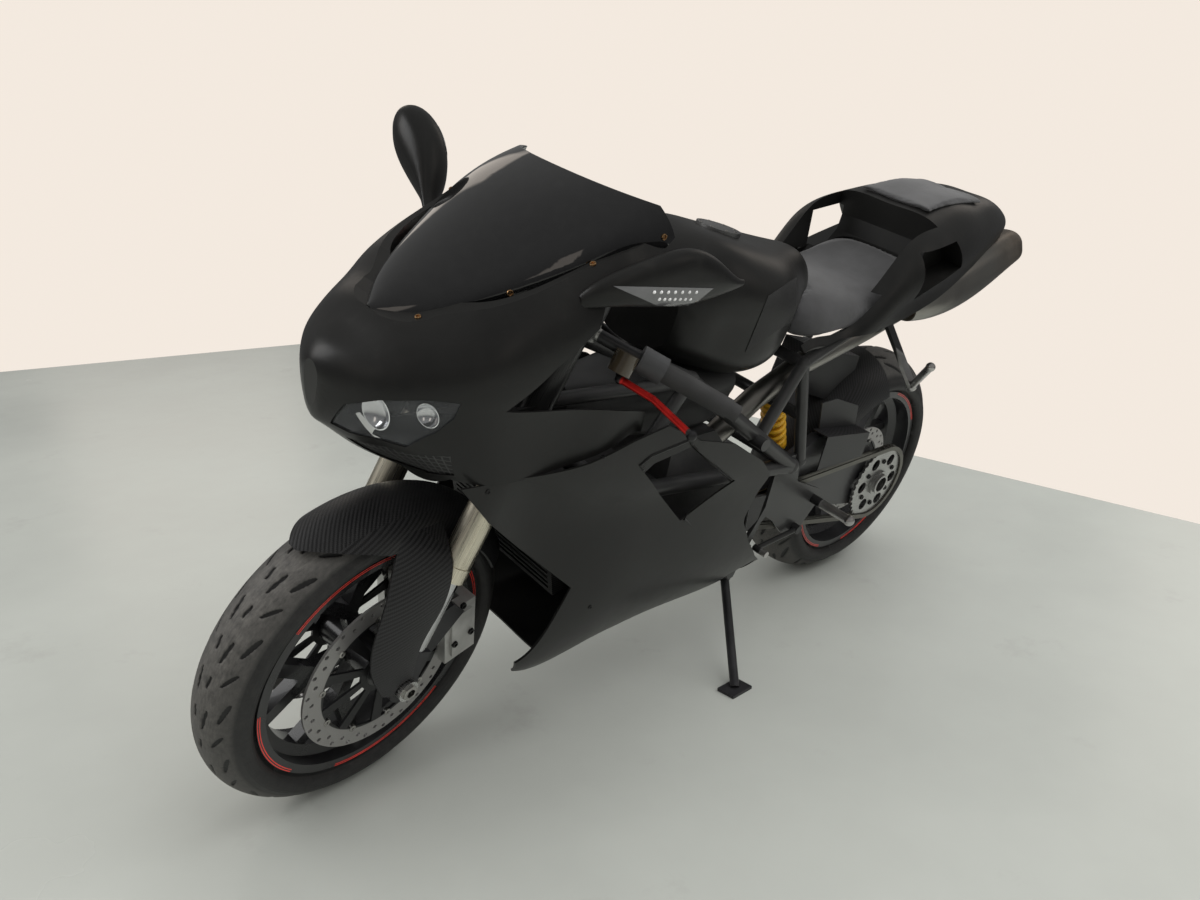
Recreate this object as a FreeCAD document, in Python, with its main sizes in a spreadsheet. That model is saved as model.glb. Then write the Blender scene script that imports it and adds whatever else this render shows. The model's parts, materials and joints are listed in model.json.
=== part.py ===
import FreeCAD, Part
import math
import os
import Sketcher

from FreeCAD import Placement, Rotation, Vector

# Sport bike, modelled upright: X forward, Y to the rider's left, Z up, in millimetres.
# The modelling origin is under the rear wheel. Each sub-part then gets the parked
# placement: leaning on the side stand, with the front assembly turned a little left.

os.makedirs("parts", exist_ok=True)
doc = FreeCAD.newDocument("SportBike")
sheet = doc.addObject("Spreadsheet::Sheet", "Sizes")


class Size:
    """A named size: its value, and the cell expression that gives it."""

    def __init__(self, value, text):
        self.value = float(value)
        self.text = text

    def __float__(self):
        return self.value

    def joined(self, other, sign, value, swapped=False):
        other_text = other.text if isinstance(other, Size) else str(other)
        pair = (other_text, self.text) if swapped else (self.text, other_text)
        return Size(value, "(%s %s %s)" % (pair[0], sign, pair[1]))

    def __add__(self, other):
        return self.joined(other, "+", self.value + float(other))

    def __radd__(self, other):
        return self.joined(other, "+", float(other) + self.value, True)

    def __sub__(self, other):
        return self.joined(other, "-", self.value - float(other))

    def __rsub__(self, other):
        return self.joined(other, "-", float(other) - self.value, True)

    def __mul__(self, other):
        return self.joined(other, "*", self.value * float(other))

    def __rmul__(self, other):
        return self.joined(other, "*", float(other) * self.value, True)

    def __truediv__(self, other):
        return self.joined(other, "/", self.value / float(other))

    def __neg__(self):
        return Size(-self.value, "(-1 * %s)" % self.text)

    def __lt__(self, other):
        return self.value < float(other)


row = 0


def size(alias, value):
    """Write one driving dimension into the sheet and hand it back by name."""
    global row
    row += 1
    sheet.set("A%d" % row, alias.replace("_", " "))
    sheet.set("B%d" % row, str(value))
    sheet.setAlias("B%d" % row, alias)
    return Size(value, "Sizes." + alias)


# Layout
wheelbase = size("wheelbase", 1430)
rake_angle = size("rake_angle", 24.5)
trail = size("trail", 97)
fork_offset = size("fork_offset", 36)
lean_angle = size("lean_angle", 13.3)
steer_angle = size("steer_angle", 8)
running_gap = size("running_gap", 0.4)
seat_gap = size("seat_gap", 0.3)
cut_over = size("cut_over", 40)

# Wheels and brakes
front_tyre_radius = size("front_tyre_radius", 300)
front_tyre_width = size("front_tyre_width", 120)
rear_tyre_radius = size("rear_tyre_radius", 315)
rear_tyre_width = size("rear_tyre_width", 180)
front_crown_radius = size("front_crown_radius", 62)
rear_crown_radius = size("rear_crown_radius", 96)
bead_radius = size("bead_radius", 218)
rim_flange_radius = size("rim_flange_radius", 229)
rim_flange_thickness = size("rim_flange_thickness", 6)
rim_well_radius = size("rim_well_radius", 200)
rim_wall = size("rim_wall", 6)
front_rim_width = size("front_rim_width", 100)
rear_rim_width = size("rear_rim_width", 154)
spoke_thickness = size("spoke_thickness", 24)
spoke_width = size("spoke_width", 20)
front_hub_radius = size("front_hub_radius", 34)
front_hub_width = size("front_hub_width", 142)
rear_hub_radius = size("rear_hub_radius", 52)
front_axle_radius = size("front_axle_radius", 12.5)
front_axle_bore = size("front_axle_bore", 8)
rear_axle_radius = size("rear_axle_radius", 27)
rear_axle_bore = size("rear_axle_bore", 20.4)
front_disc_radius = size("front_disc_radius", 160)
disc_band = size("disc_band", 34)
disc_thickness = size("disc_thickness", 4.5)
disc_offset = size("disc_offset", 68)
disc_hole_radius = size("disc_hole_radius", 4)
rear_disc_radius = size("rear_disc_radius", 122)
rear_disc_offset = size("rear_disc_offset", 62)
sprocket_offset = size("sprocket_offset", 132)
sprocket_radius = size("sprocket_radius", 99)
sprocket_thickness = size("sprocket_thickness", 7)
tooth_height = size("tooth_height", 5)

# Front end
fork_spacing = size("fork_spacing", 104)
fork_tube_radius = size("fork_tube_radius", 27)
fork_collar_radius = size("fork_collar_radius", 29)
fork_slider_radius = size("fork_slider_radius", 21.5)
fork_tube_bottom = size("fork_tube_bottom", 205)
fork_tube_top = size("fork_tube_top", 728)
fork_foot_top = size("fork_foot_top", 70)
fork_foot_width = size("fork_foot_width", 46)
caliper_angle = size("caliper_angle", 146)
caliper_inner = size("caliper_inner", 116)
caliper_outer = size("caliper_outer", 186)
caliper_length = size("caliper_length", 128)
caliper_width = size("caliper_width", 54)
axle_clamp_radius = size("axle_clamp_radius", 30)
lower_clamp_height = size("lower_clamp_height", 432)
upper_clamp_height = size("upper_clamp_height", 706)
clamp_thickness = size("clamp_thickness", 30)
stem_radius = size("stem_radius", 17)
head_tube_radius = size("head_tube_radius", 36)
bar_radius = size("bar_radius", 11)
grip_radius = size("grip_radius", 17)
grip_length = size("grip_length", 122)
bar_length = size("bar_length", 248)
bar_droop_angle = size("bar_droop_angle", 2.3)
bar_sweep_angle = size("bar_sweep_angle", 36.5)
bar_height = size("bar_height", 672)
lever_reach = size("lever_reach", 45)
lever_drop = size("lever_drop", 42)

# Bodywork
shell_wall = size("shell_wall", 4)
screen_wall = size("screen_wall", 3)
lamp_depth = size("lamp_depth", 26)
nose_overhang = size("nose_overhang", 105)
nose_length = size("nose_length", 495)
nose_half_width = size("nose_half_width", 215)
nose_floor = size("nose_floor", 640)
nose_height = size("nose_height", 480)
hull_front = size("hull_front", 1400)
hull_length = size("hull_length", 1000)
hull_half_width = size("hull_half_width", 212)
hull_floor = size("hull_floor", 172)
hull_height = size("hull_height", 720)
wheel_room_rear = size("wheel_room_rear", 1100)
wheel_room_half = size("wheel_room_half", 152)
tank_front = size("tank_front", 900)
tank_length = size("tank_length", 500)
tank_half_width = size("tank_half_width", 170)
tank_floor = size("tank_floor", 728)
tank_height = size("tank_height", 295)
saddle_front = size("saddle_front", 580)
saddle_length = size("saddle_length", 455)
saddle_half_width = size("saddle_half_width", 152)
saddle_floor = size("saddle_floor", 790)
saddle_height = size("saddle_height", 130)
tail_front = size("tail_front", 560)
tail_length = size("tail_length", 900)
tail_half_width = size("tail_half_width", 176)
tail_floor = size("tail_floor", 760)
tail_height = size("tail_height", 292)

# Chassis
frame_tube_radius = size("frame_tube_radius", 17)
brace_tube_radius = size("brace_tube_radius", 13)
frame_half_width = size("frame_half_width", 160)
body_height = size("body_height", 1000)
engine_length = size("engine_length", 400)
airbox_front = size("airbox_front", 1060)
airbox_length = size("airbox_length", 395)
airbox_half_width = size("airbox_half_width", 102)
airbox_height = size("airbox_height", 128)
engine_width = size("engine_width", 230)
engine_height = size("engine_height", 375)
engine_rear = size("engine_rear", 622)
engine_floor = size("engine_floor", 245)
arm_width = size("arm_width", 25)
arm_inside = size("arm_inside", 96)
arm_hub_radius = size("arm_hub_radius", 62)
arm_hub_inside = size("arm_hub_inside", 69)
pivot_x = size("pivot_x", 480)
pivot_z = size("pivot_z", 392)
pivot_radius = size("pivot_radius", 34)
pivot_tube_radius = size("pivot_tube_radius", 20)
plate_inside = size("plate_inside", 144)
plate_thickness = size("plate_thickness", 9)
chain_width = size("chain_width", 16)
chain_height = size("chain_height", 12)
drive_x = size("drive_x", 574)
drive_z = size("drive_z", 386)
drive_radius = size("drive_radius", 34)
cover_wall = size("cover_wall", 8)
peg_radius = size("peg_radius", 11)
peg_length = size("peg_length", 104)
passenger_peg_radius = size("passenger_peg_radius", 9)
lever_radius = size("lever_radius", 6)
hugger_gap = size("hugger_gap", 16)
hugger_wall = size("hugger_wall", 3)
spring_radius = size("spring_radius", 29)
spring_wire = size("spring_wire", 5.5)
spring_pitch = size("spring_pitch", 21)
damper_radius = size("damper_radius", 16)
eye_radius = size("eye_radius", 15)
pipe_radius = size("pipe_radius", 25)
cap_radius = size("cap_radius", 44)
cap_rise = size("cap_rise", 5)
cap_tilt = size("cap_tilt", 9)
perch_rise = size("perch_rise", 7)
chain_play = size("chain_play", 1)
bridge_rear = size("bridge_rear", 366)
radiator_width = size("radiator_width", 300)
radiator_height = size("radiator_height", 250)
radiator_thickness = size("radiator_thickness", 26)
radiator_x = size("radiator_x", 1098)
radiator_z = size("radiator_z", 395)
radiator_tilt = size("radiator_tilt", 14)
fin_pitch = size("fin_pitch", 12)
fin_depth = size("fin_depth", 4)
dash_width = size("dash_width", 150)
dash_height = size("dash_height", 88)
dash_depth = size("dash_depth", 22)
cup_radius = size("cup_radius", 20)
cup_height = size("cup_height", 34)
guard_wall = size("guard_wall", 3)
stand_radius = size("stand_radius", 10)
stand_pin_radius = size("stand_pin_radius", 5)
stand_pivot_x = size("stand_pivot_x", 560)
stand_pivot_y = size("stand_pivot_y", 128)
stand_pivot_z = size("stand_pivot_z", 215)
stand_foot_x = size("stand_foot_x", 680)
stand_foot_reach = size("stand_foot_reach", 318)
stand_foot_length = size("stand_foot_length", 62)
stand_foot_width = size("stand_foot_width", 44)
stand_foot_thickness = size("stand_foot_thickness", 7)
silencer_front = size("silencer_front", 80)
silencer_rear = size("silencer_rear", -368)
silencer_offset = size("silencer_offset", 88)
silencer_low = size("silencer_low", 792)
silencer_high = size("silencer_high", 900)
silencer_half_width = size("silencer_half_width", 50)
silencer_half_height = size("silencer_half_height", 50)

doc.recompute()

X_AXIS = Vector(1, 0, 0)
Y_AXIS = Vector(0, 1, 0)
Z_AXIS = Vector(0, 0, 1)
ORIGIN = Vector(0, 0, 0)


def point(x, y, z):
    return Vector(float(x), float(y), float(z))


# Document objects

def bound(item, **sizes):
    """Bind an object's sizes to the sheet."""
    for key, value in sizes.items():
        if isinstance(value, Size):
            item.setExpression(key, value.text)
        setattr(item, key, float(value))
    return item


def feature(shape, name="Form"):
    item = doc.addObject("Part::Feature", name)
    item.Shape = shape
    return item


def cylinder(radius, height, base, direction, name="Rod"):
    item = bound(doc.addObject("Part::Cylinder", name), Radius=radius, Height=height)
    item.Placement = Placement(base, Rotation(Z_AXIS, direction))
    return item


def rod(radius, start, end, name="Rod"):
    """A round bar from start to end; its length follows the two points."""
    along = end - start
    return cylinder(radius, along.Length, start, along, name)


def block(length, width, height, corner, name="Block"):
    item = bound(doc.addObject("Part::Box", name), Length=length, Width=width, Height=height)
    item.Placement = Placement(corner, Rotation())
    return item


def ball(radius, centre, name="Ball"):
    item = bound(doc.addObject("Part::Sphere", name), Radius=radius)
    item.Placement = Placement(centre, Rotation())
    return item


def fuse(items, name="Joined"):
    item = doc.addObject("Part::MultiFuse", name)
    item.Shapes = list(items)
    item.Refine = False
    return item


def cut(base, tool, name="Cutout"):
    item = doc.addObject("Part::Cut", name)
    item.Base = base
    item.Tool = tool
    item.Refine = False
    return item


def new_body(name):
    return doc.addObject("PartDesign::Body", name)


def origin_item(body, role):
    return [item for item in body.Origin.OriginFeatures if item.Role == role][0]


def sketch(body, name, plane, points):
    """A closed outline on one of the body's planes, every point bound to the sheet.
    A point is (across, up); ("arc", across, up) is a point that an arc passes through."""
    item = body.newObject("Sketcher::SketchObject", name)
    item.AttachmentSupport = [(origin_item(body, plane), "")]
    item.MapMode = "FlatFace"
    ends = [entry for entry in points if entry[0] != "arc"]
    steps = []
    for entry in points:
        if entry[0] == "arc":
            steps[-1]["through"] = entry[1:]
        else:
            steps.append({"start": entry, "through": None})
    for index, step in enumerate(steps):
        start = ends[index]
        end = ends[(index + 1) % len(ends)]
        a, b = point(start[0], start[1], 0), point(end[0], end[1], 0)
        if step["through"] is None:
            number = item.addGeometry(Part.LineSegment(a, b), False)
            step["ends"] = (1, 2)
        else:
            middle = point(step["through"][0], step["through"][1], 0)
            arc = Part.Arc(a, middle, b)
            number = item.addGeometry(arc, False)
            held = item.Geometry[number]
            step["ends"] = (1,
                            2) if held.StartPoint.distanceToPoint(a) < held.EndPoint.distanceToPoint(a) else (2, 1)
        step["number"] = number
    for index, step in enumerate(steps):
        following = steps[(index + 1) % len(steps)]
        item.addConstraint(Sketcher.Constraint("Coincident", step["number"], step["ends"][1],
                                               following["number"], following["ends"][0]))
    for step in steps:
        place(item, step["number"], step["ends"][0], step["start"])
        if step["through"] is not None:
            dot = item.addGeometry(Part.Point(point(step["through"][0], step["through"][1], 0)), True)
            place(item, dot, 1, step["through"])
            item.addConstraint(Sketcher.Constraint("PointOnObject", dot, 1, step["number"]))
    return item


def place(item, number, end, spot):
    for kind, value in (("DistanceX", spot[0]), ("DistanceY", spot[1])):
        index = item.addConstraint(Sketcher.Constraint(kind, -1, 1, number, end, float(value)))
        if isinstance(value, Size):
            item.setExpression("Constraints[%d]" % index, value.text)


def circle_sketch(body, name, plane, circles):
    """Circles bound to the sheet, each (across, up, radius)."""
    item = body.newObject("Sketcher::SketchObject", name)
    item.AttachmentSupport = [(origin_item(body, plane), "")]
    item.MapMode = "FlatFace"
    for across, up, radius in circles:
        number = item.addGeometry(Part.Circle(point(across, up, 0), Z_AXIS, float(radius)), False)
        place(item, number, 3, (across, up))
        index = item.addConstraint(Sketcher.Constraint("Radius", number, float(radius)))
        if isinstance(radius, Size):
            item.setExpression("Constraints[%d]" % index, radius.text)
    return item


def revolve(body, profile, cutting=False):
    """Turn a profile of (radius, along) about the body's Y axis."""
    kind = "PartDesign::Groove" if cutting else "PartDesign::Revolution"
    item = body.newObject(kind, "Turned")
    item.Profile = profile
    item.ReferenceAxis = (profile, ["V_Axis"])
    item.Angle = 360
    doc.recompute()
    return item


def pad(body, profile, length, both_ways=True):
    item = body.newObject("PartDesign::Pad", "Raised")
    item.Profile = profile
    bound(item, Length=length)
    item.Midplane = both_ways
    doc.recompute()
    return item


def pocket(body, profile):
    item = body.newObject("PartDesign::Pocket", "Cut")
    item.Profile = profile
    item.Type = 1
    item.Midplane = True
    doc.recompute()
    return item


def around(body, features, count):
    """Repeat features about the body's Y axis."""
    item = body.newObject("PartDesign::PolarPattern", "Around")
    item.Originals = features
    item.Axis = (origin_item(body, "Y_Axis"), [""])
    item.Angle = 360
    item.Occurrences = count
    body.Tip = item
    doc.recompute()
    return item


# Curved forms

def oval(x, half_width, low, wide, top, fullness, count=12):
    """Closed cross-section at x: widest at height wide, pinched or full by its exponent."""
    spots = []
    for step in range(count):
        angle = 2 * math.pi * step / count
        across, up = math.cos(angle), math.sin(angle)
        power = 2.0 / fullness
        y = half_width * math.copysign(abs(across) ** power, across)
        reach = (top - wide) if up > 0 else (wide - low)
        z = wide + reach * math.copysign(abs(up) ** power, up)
        spots.append(Vector(x, y, z))
    curve = Part.BSplineCurve()
    curve.interpolate(spots, PeriodicFlag=True)
    return Part.Wire([curve.toShape()])


def ovals(shares, front, length, half_width, floor, height, inset=0):
    """Loft through the cross-sections of a table of shares, one row a station:
    back from the front, half width, low, wide and top heights, fullness."""
    wires = []
    for back, wide_share, low, wide, top, fullness in shares:
        wires.append(oval(float(front) - back * float(length),
                          max(wide_share * float(half_width) - inset, inset),
                          float(floor) + low * float(height) + inset,
                          float(floor) + wide * float(height),
                          float(floor) + top * float(height) - inset, fullness))
    return Part.makeLoft(wires, True, False)


def side_prism(spots, half_width):
    """Outline in side view, (x, z) pairs, extruded both ways to the half width."""
    corners = [Vector(x, -float(half_width), z) for x, z in spots]
    wire = Part.makePolygon(corners + corners[:1])
    return Part.Face(wire).extrude(Vector(0, 2 * float(half_width), 0))


def front_prism(spots, back, front):
    """Outline in front view, (y, z) pairs, extruded from back to front."""
    corners = [Vector(float(back), y, z) for y, z in spots]
    wire = Part.makePolygon(corners + corners[:1])
    return Part.Face(wire).extrude(Vector(float(front) - float(back), 0, 0))


def scaled(shares, front, length, floor, height):
    """Side-view points from shares: back from the front, up from the floor."""
    return [(float(front) - back * float(length), float(floor) + up * float(height)) for back, up in shares]


def spot(shares, side=1):
    """A place in the bike from shares of its wheelbase, frame half width and body height."""
    along, across, up = shares
    return point(wheelbase * along, side * float(frame_half_width) * across, body_height * up)


def plate(shares, near, far, side=1, placed=False):
    """Flat plate: a side-view outline between two distances from the middle.
    The outline is in shares of wheelbase and body height, unless its points are placed already."""
    spots = shares if placed else [(float(wheelbase) * along, float(body_height) * up) for along,
                                   up in shares]
    corners = [Vector(x, side * float(near), z) for x, z in spots]
    wire = Part.makePolygon(corners + corners[:1])
    return Part.Face(wire).extrude(Vector(0, side * (float(far) - float(near)), 0))


def largest(shape):
    """The main solid of a cut, without slivers."""
    return max(shape.Solids, key=lambda solid: solid.Volume)


def slab(start, end, width, thickness, name="Slab"):
    """A flat bar from start to end, its width across and its thickness up."""
    along = end - start
    item = bound(doc.addObject("Part::Box", name), Length=along.Length, Width=width, Height=thickness)
    turn = Rotation(X_AXIS, along)
    item.Placement = Placement(start - turn.multVec(point(0, width / 2, thickness / 2)), turn)
    return item


# The steering axis, and the frame that the front assembly is modelled in:
# origin beside the front axle on the steering axis, Z up the axis, X forward

rake = math.radians(float(rake_angle))
steer_up = Vector(-math.sin(rake), 0, math.cos(rake))
steer_ground = point(wheelbase + trail, 0, 0)
front_centre = point(wheelbase, 0, front_tyre_radius)
steer_origin = steer_ground + steer_up * (front_centre - steer_ground).dot(steer_up)
steer_frame = Placement(steer_origin, Rotation(Y_AXIS, -float(rake_angle)))
steering = Placement(steer_ground, Rotation()) * Placement(ORIGIN, Rotation(steer_up, float(steer_angle))) \
    * Placement(-steer_ground, Rotation())


def lowest(place, centre, radius, crown):
    """Height of the lowest point of a tyre whose tread is an arc of radius crown."""
    hub = place.multVec(centre)
    spin = place.Rotation.multVec(Y_AXIS)
    flat = math.sqrt(1 - spin.z ** 2)
    return hub.z - (float(radius) - float(crown)) * flat - float(crown)


# Lean, then lift and pitch until both tyres touch the floor
lean = Rotation(X_AXIS, -float(lean_angle))
parked = Placement(ORIGIN, lean)
for step in range(6):
    rear_low = lowest(parked, point(0, 0, rear_tyre_radius), rear_tyre_radius, rear_crown_radius)
    front_low = lowest(parked * steering, front_centre, front_tyre_radius, front_crown_radius)
    pitch = math.degrees((front_low - rear_low) / float(wheelbase))
    parked = Placement(Vector(0, 0, -rear_low), Rotation(Y_AXIS, pitch)) * parked

# The side stand folds from its foot's line to a line back along the bike, about the axis square to both
stand_down = parked.inverse().multVec(point(stand_foot_x, stand_foot_reach, 0)) \
    - point(stand_pivot_x, stand_pivot_y, stand_pivot_z)
STAND_FOLDED_SHARES = (-0.92, 0.38, 0.08)
stand_line = stand_down.cross(Vector(*STAND_FOLDED_SHARES))
stand_line.normalize()
stand_axis = parked.Rotation.multVec(stand_line)

nodes = {}


def sub_part(label, item, carrier=parked, local=Placement()):
    """Name a finished sub-part and put it in its parked place."""
    item.Label = label
    nodes[label] = (item, carrier, local)
    return item


front_carrier = parked * steering
front_local = steer_frame


# Wheels

def tyre(label, radius, width, crown, bead_width, carrier, local):
    """Tyre section: tread arc, sidewalls that bulge, beads at the rim."""
    body = new_body("Tyre")
    half = width / 2
    drop = float(crown) - math.sqrt(float(crown) ** 2 - (float(half) - float(rim_wall)) ** 2)
    shoulder = radius - drop
    shoulder_half = half - rim_wall
    bead_half = bead_width / 2 - rim_flange_thickness - seat_gap
    waist = (shoulder + bead_radius) / 2
    profile = sketch(body, "Section", "XY_Plane", [
        (bead_radius, -bead_half), (rim_flange_radius + seat_gap, -bead_half),
        (rim_flange_radius + rim_wall, -bead_half - rim_wall / 2),
        ("arc", waist, -half),
        (shoulder, -shoulder_half), ("arc", radius, Size(0, "0")),
        (shoulder, shoulder_half), ("arc", waist, half),
        (rim_flange_radius + rim_wall, bead_half + rim_wall / 2), (rim_flange_radius + seat_gap, bead_half),
        (bead_radius, bead_half)])
    revolve(body, profile)
    return sub_part(label, body, carrier, local)


def rim(label, width, hub_radius, hub_low, hub_high, bore, spokes, carrier, local):
    """Wheel rim: a welled barrel with flanges, a hub and forked spokes."""
    body = new_body("Rim")
    half = width / 2
    seat = half - rim_flange_thickness
    barrel = sketch(body, "Barrel", "XY_Plane", [
        (rim_flange_radius, -half), (rim_flange_radius, -seat), (bead_radius - seat_gap, -seat),
        (bead_radius - seat_gap, -half / 2), (rim_well_radius, -half / 3), (rim_well_radius, half / 3),
        (bead_radius - seat_gap, half / 2), (bead_radius - seat_gap, seat), (rim_flange_radius, seat),
        (rim_flange_radius, half), (bead_radius - rim_wall, half),
        (bead_radius - rim_wall, half / 2), (rim_well_radius - rim_wall, half / 3),
        (rim_well_radius - rim_wall, -half / 3), (bead_radius - rim_wall, -half / 2),
        (bead_radius - rim_wall, -half)])
    revolve(body, barrel)
    hub = sketch(body, "Hub", "XY_Plane", [
        (bore, hub_low), (hub_radius, hub_low), (hub_radius, hub_high), (bore, hub_high)])
    revolve(body, hub)
    foot = hub_radius - rim_wall
    end = rim_well_radius - rim_wall / 2
    fork = (hub_radius + end) / 2
    thick = spoke_width
    stem = thick * 0.6
    spread = end * 0.28
    arm = sketch(body, "Spoke", "XZ_Plane", [
        (foot, -stem), (fork - thick, -stem), (end * 0.96, -spread - thick), (end * 0.985,
                                                                              -spread + thick / 4),
        (fork + thick / 2, Size(0, "0")),
        (end * 0.985, spread - thick / 4), (end * 0.96, spread + thick), (fork - thick, stem), (foot, stem)])
    raised = pad(body, arm, spoke_thickness)
    around(body, [raised], spokes)
    return sub_part(label, body, carrier, local)


front_wheel_place = Placement(front_centre, Rotation())
rear_wheel_place = Placement(point(0, 0, rear_tyre_radius), Rotation())

tyre("front_tyre", front_tyre_radius, front_tyre_width, front_crown_radius, front_rim_width,
     front_carrier, front_wheel_place)
tyre("rear_tyre", rear_tyre_radius, rear_tyre_width, rear_crown_radius, rear_rim_width, parked,
     rear_wheel_place)
rim("front_rim", front_rim_width, front_hub_radius, -front_hub_width / 2, front_hub_width / 2,
    front_axle_radius + running_gap, 5, front_carrier, front_wheel_place)
rim("rear_rim", rear_rim_width, rear_hub_radius, -rear_hub_radius,
    rear_disc_offset - disc_thickness / 2 - seat_gap,
    rear_axle_bore, 5, parked, rear_wheel_place)


def brake_disc(label, radius, offsets, hub_radius, carrier, local, slots=10, holes=24):
    """Drilled steel ring on a spidered carrier, one or two discs on the hub."""
    rings = []
    for offset in offsets:
        body = new_body("Disc")
        inner = radius - disc_band
        half = disc_thickness / 2
        ring = sketch(body, "Ring", "XY_Plane", [
            (hub_radius, -half), (radius, -half), (radius, half), (hub_radius, half)])
        revolve(body, ring)
        window_in = hub_radius + disc_band / 3
        window_out = inner - disc_band / 6
        narrow = window_in * math.sin(math.pi / slots) * 0.55
        broad = window_out * math.sin(math.pi / slots) * 0.75
        window = sketch(body, "Window", "XZ_Plane", [
            (window_in, -narrow), (window_out, -broad), (window_out, broad), (window_in, narrow)])
        opened = pocket(body, window)
        around(body, [opened], slots)
        middle = inner + disc_band / 2
        step = math.pi / holes
        drill = circle_sketch(body, "Drilling", "XZ_Plane", [
            (middle, Size(0, "0"), disc_hole_radius),
            ((middle + disc_band * 0.3) * math.cos(step), (middle + disc_band * 0.3) * math.sin(step),
             disc_hole_radius)])
        drilled = pocket(body, drill)
        around(body, [drilled], holes)
        body.Placement = Placement(point(0, offset, 0), Rotation())
        rings.append(body)
    item = rings[0] if len(rings) == 1 else fuse(rings, "Discs")
    shift = rings[0].Placement if len(rings) == 1 else Placement()
    return sub_part(label, item, carrier, local * shift)


brake_disc("front_brake_discs", front_disc_radius, [disc_offset, -disc_offset],
           front_hub_radius + seat_gap, front_carrier, front_wheel_place)
brake_disc("rear_brake_disc", rear_disc_radius, [rear_disc_offset], rear_axle_radius,
           parked, rear_wheel_place, 8, 20)


def sprocket(label, teeth=39):
    """Rear sprocket on its carrier with the axle that joins it to the wheel."""
    body = new_body("Sprocket")
    half = sprocket_thickness / 2
    ring = sketch(body, "Ring", "XY_Plane", [
        (rear_axle_bore, -half), (sprocket_radius, -half), (sprocket_radius, half), (rear_axle_bore, half)])
    revolve(body, ring)
    pitch = float(sprocket_radius) * math.pi / teeth
    tooth = sketch(body, "Tooth", "XZ_Plane", [
        (sprocket_radius - tooth_height / 2, Size(-pitch * 0.62, "0 - Sizes.sprocket_radius * %.5f" % (
            math.pi / teeth * 0.62))),
        (sprocket_radius + tooth_height, Size(-pitch * 0.25, "0 - Sizes.sprocket_radius * %.5f" % (
            math.pi / teeth * 0.25))),
        (sprocket_radius + tooth_height, sprocket_radius * (math.pi / teeth * 0.25)),
        (sprocket_radius - tooth_height / 2, sprocket_radius * (math.pi / teeth * 0.62))])
    raised = pad(body, tooth, sprocket_thickness)
    around(body, [raised], teeth)
    window = circle_sketch(body, "Windows", "XZ_Plane", [
        (sprocket_radius * 0.68, Size(0, "0"), sprocket_radius * 0.16)])
    opened = pocket(body, window)
    around(body, [opened], 6)
    shaft = sketch(body, "Shaft", "XY_Plane", [
        (rear_axle_bore, rear_disc_offset - sprocket_offset - disc_thickness / 2),
        (rear_axle_radius, rear_disc_offset - sprocket_offset - disc_thickness / 2),
        (rear_axle_radius, half + sprocket_thickness * 2),
        (rear_axle_bore, half + sprocket_thickness * 2)])
    revolve(body, shaft)
    nut = sketch(body, "Nut", "XY_Plane", [
        (rear_axle_radius, half), (rear_axle_radius * 1.25, half),
        (rear_axle_radius * 1.25, half + sprocket_thickness), (rear_axle_radius, half + sprocket_thickness)])
    revolve(body, nut)
    offset = Placement(point(0, sprocket_offset, 0), Rotation())
    return sub_part(label, body, parked, rear_wheel_place * offset)


sprocket("rear_sprocket")


# Front assembly, in the steering frame

def at_leg(side, height):
    return point(fork_offset, side * float(fork_spacing), height)


tubes = []
sliders = []
for side in (1, -1):
    tubes.append(rod(fork_tube_radius, at_leg(side, fork_tube_bottom), at_leg(side, fork_tube_top),
                     "ForkTube"))
    tubes.append(cylinder(fork_collar_radius, fork_tube_radius, at_leg(side, fork_tube_bottom), Z_AXIS,
                          "Collar"))
    sliders.append(rod(fork_slider_radius, at_leg(side, fork_foot_top), at_leg(side, fork_tube_bottom),
                       "Slider"))
sub_part("fork_tubes", fuse(tubes, "ForkTubes"), front_carrier, front_local)
sub_part("fork_sliders", fuse(sliders, "Sliders"), front_carrier, front_local)

feet = []
for side in (1, -1):
    centre = point(fork_offset, side * float(fork_spacing), 0)
    corner = centre - point(fork_foot_width / 2, fork_foot_width / 2, 0)
    foot = block(fork_foot_width, fork_foot_width, fork_foot_top, corner, "Foot")
    boss = cylinder(axle_clamp_radius, fork_foot_width, centre - point(0, fork_foot_width / 2, 0), Y_AXIS,
                    "Boss")
    feet.append(foot)
    feet.append(boss)
axle_hole = cylinder(front_axle_radius, fork_spacing * 4, point(fork_offset, -fork_spacing * 2, 0), Y_AXIS,
                     "AxleHole")
axle_half = fork_spacing + fork_foot_width / 2 + rim_wall
axle = cylinder(front_axle_radius, axle_half * 2, point(fork_offset, -axle_half, 0), Y_AXIS, "Axle")
bore = cylinder(front_axle_bore, axle_half * 2 + cut_over, point(fork_offset, -axle_half - cut_over / 2, 0),
                Y_AXIS, "AxleBore")
nut = cylinder(front_axle_radius * 1.6, rim_wall * 2, point(fork_offset,
                                                            fork_spacing + fork_foot_width / 2, 0),
               Y_AXIS, "AxleNut")
sub_part("front_axle", cut(fuse([axle, nut], "AxleRod"), bore), front_carrier, front_local)


def triple_clamp(label, height, pinch):
    """Yoke that holds both fork tubes and turns on the steering stem."""
    z = height - clamp_thickness / 2
    parts = [block(fork_offset + fork_tube_radius, fork_spacing * 2, clamp_thickness,
                   point(-fork_tube_radius / 2, -fork_spacing, z), "Yoke")]
    for side in (1, -1):
        parts.append(cylinder(fork_tube_radius + pinch, clamp_thickness,
                              point(fork_offset, side * float(fork_spacing), z), Z_AXIS, "Clamp"))
    parts.append(cylinder(stem_radius * 1.6, clamp_thickness, point(0, 0, z), Z_AXIS, "Boss"))
    return fuse(parts, label)


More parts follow.
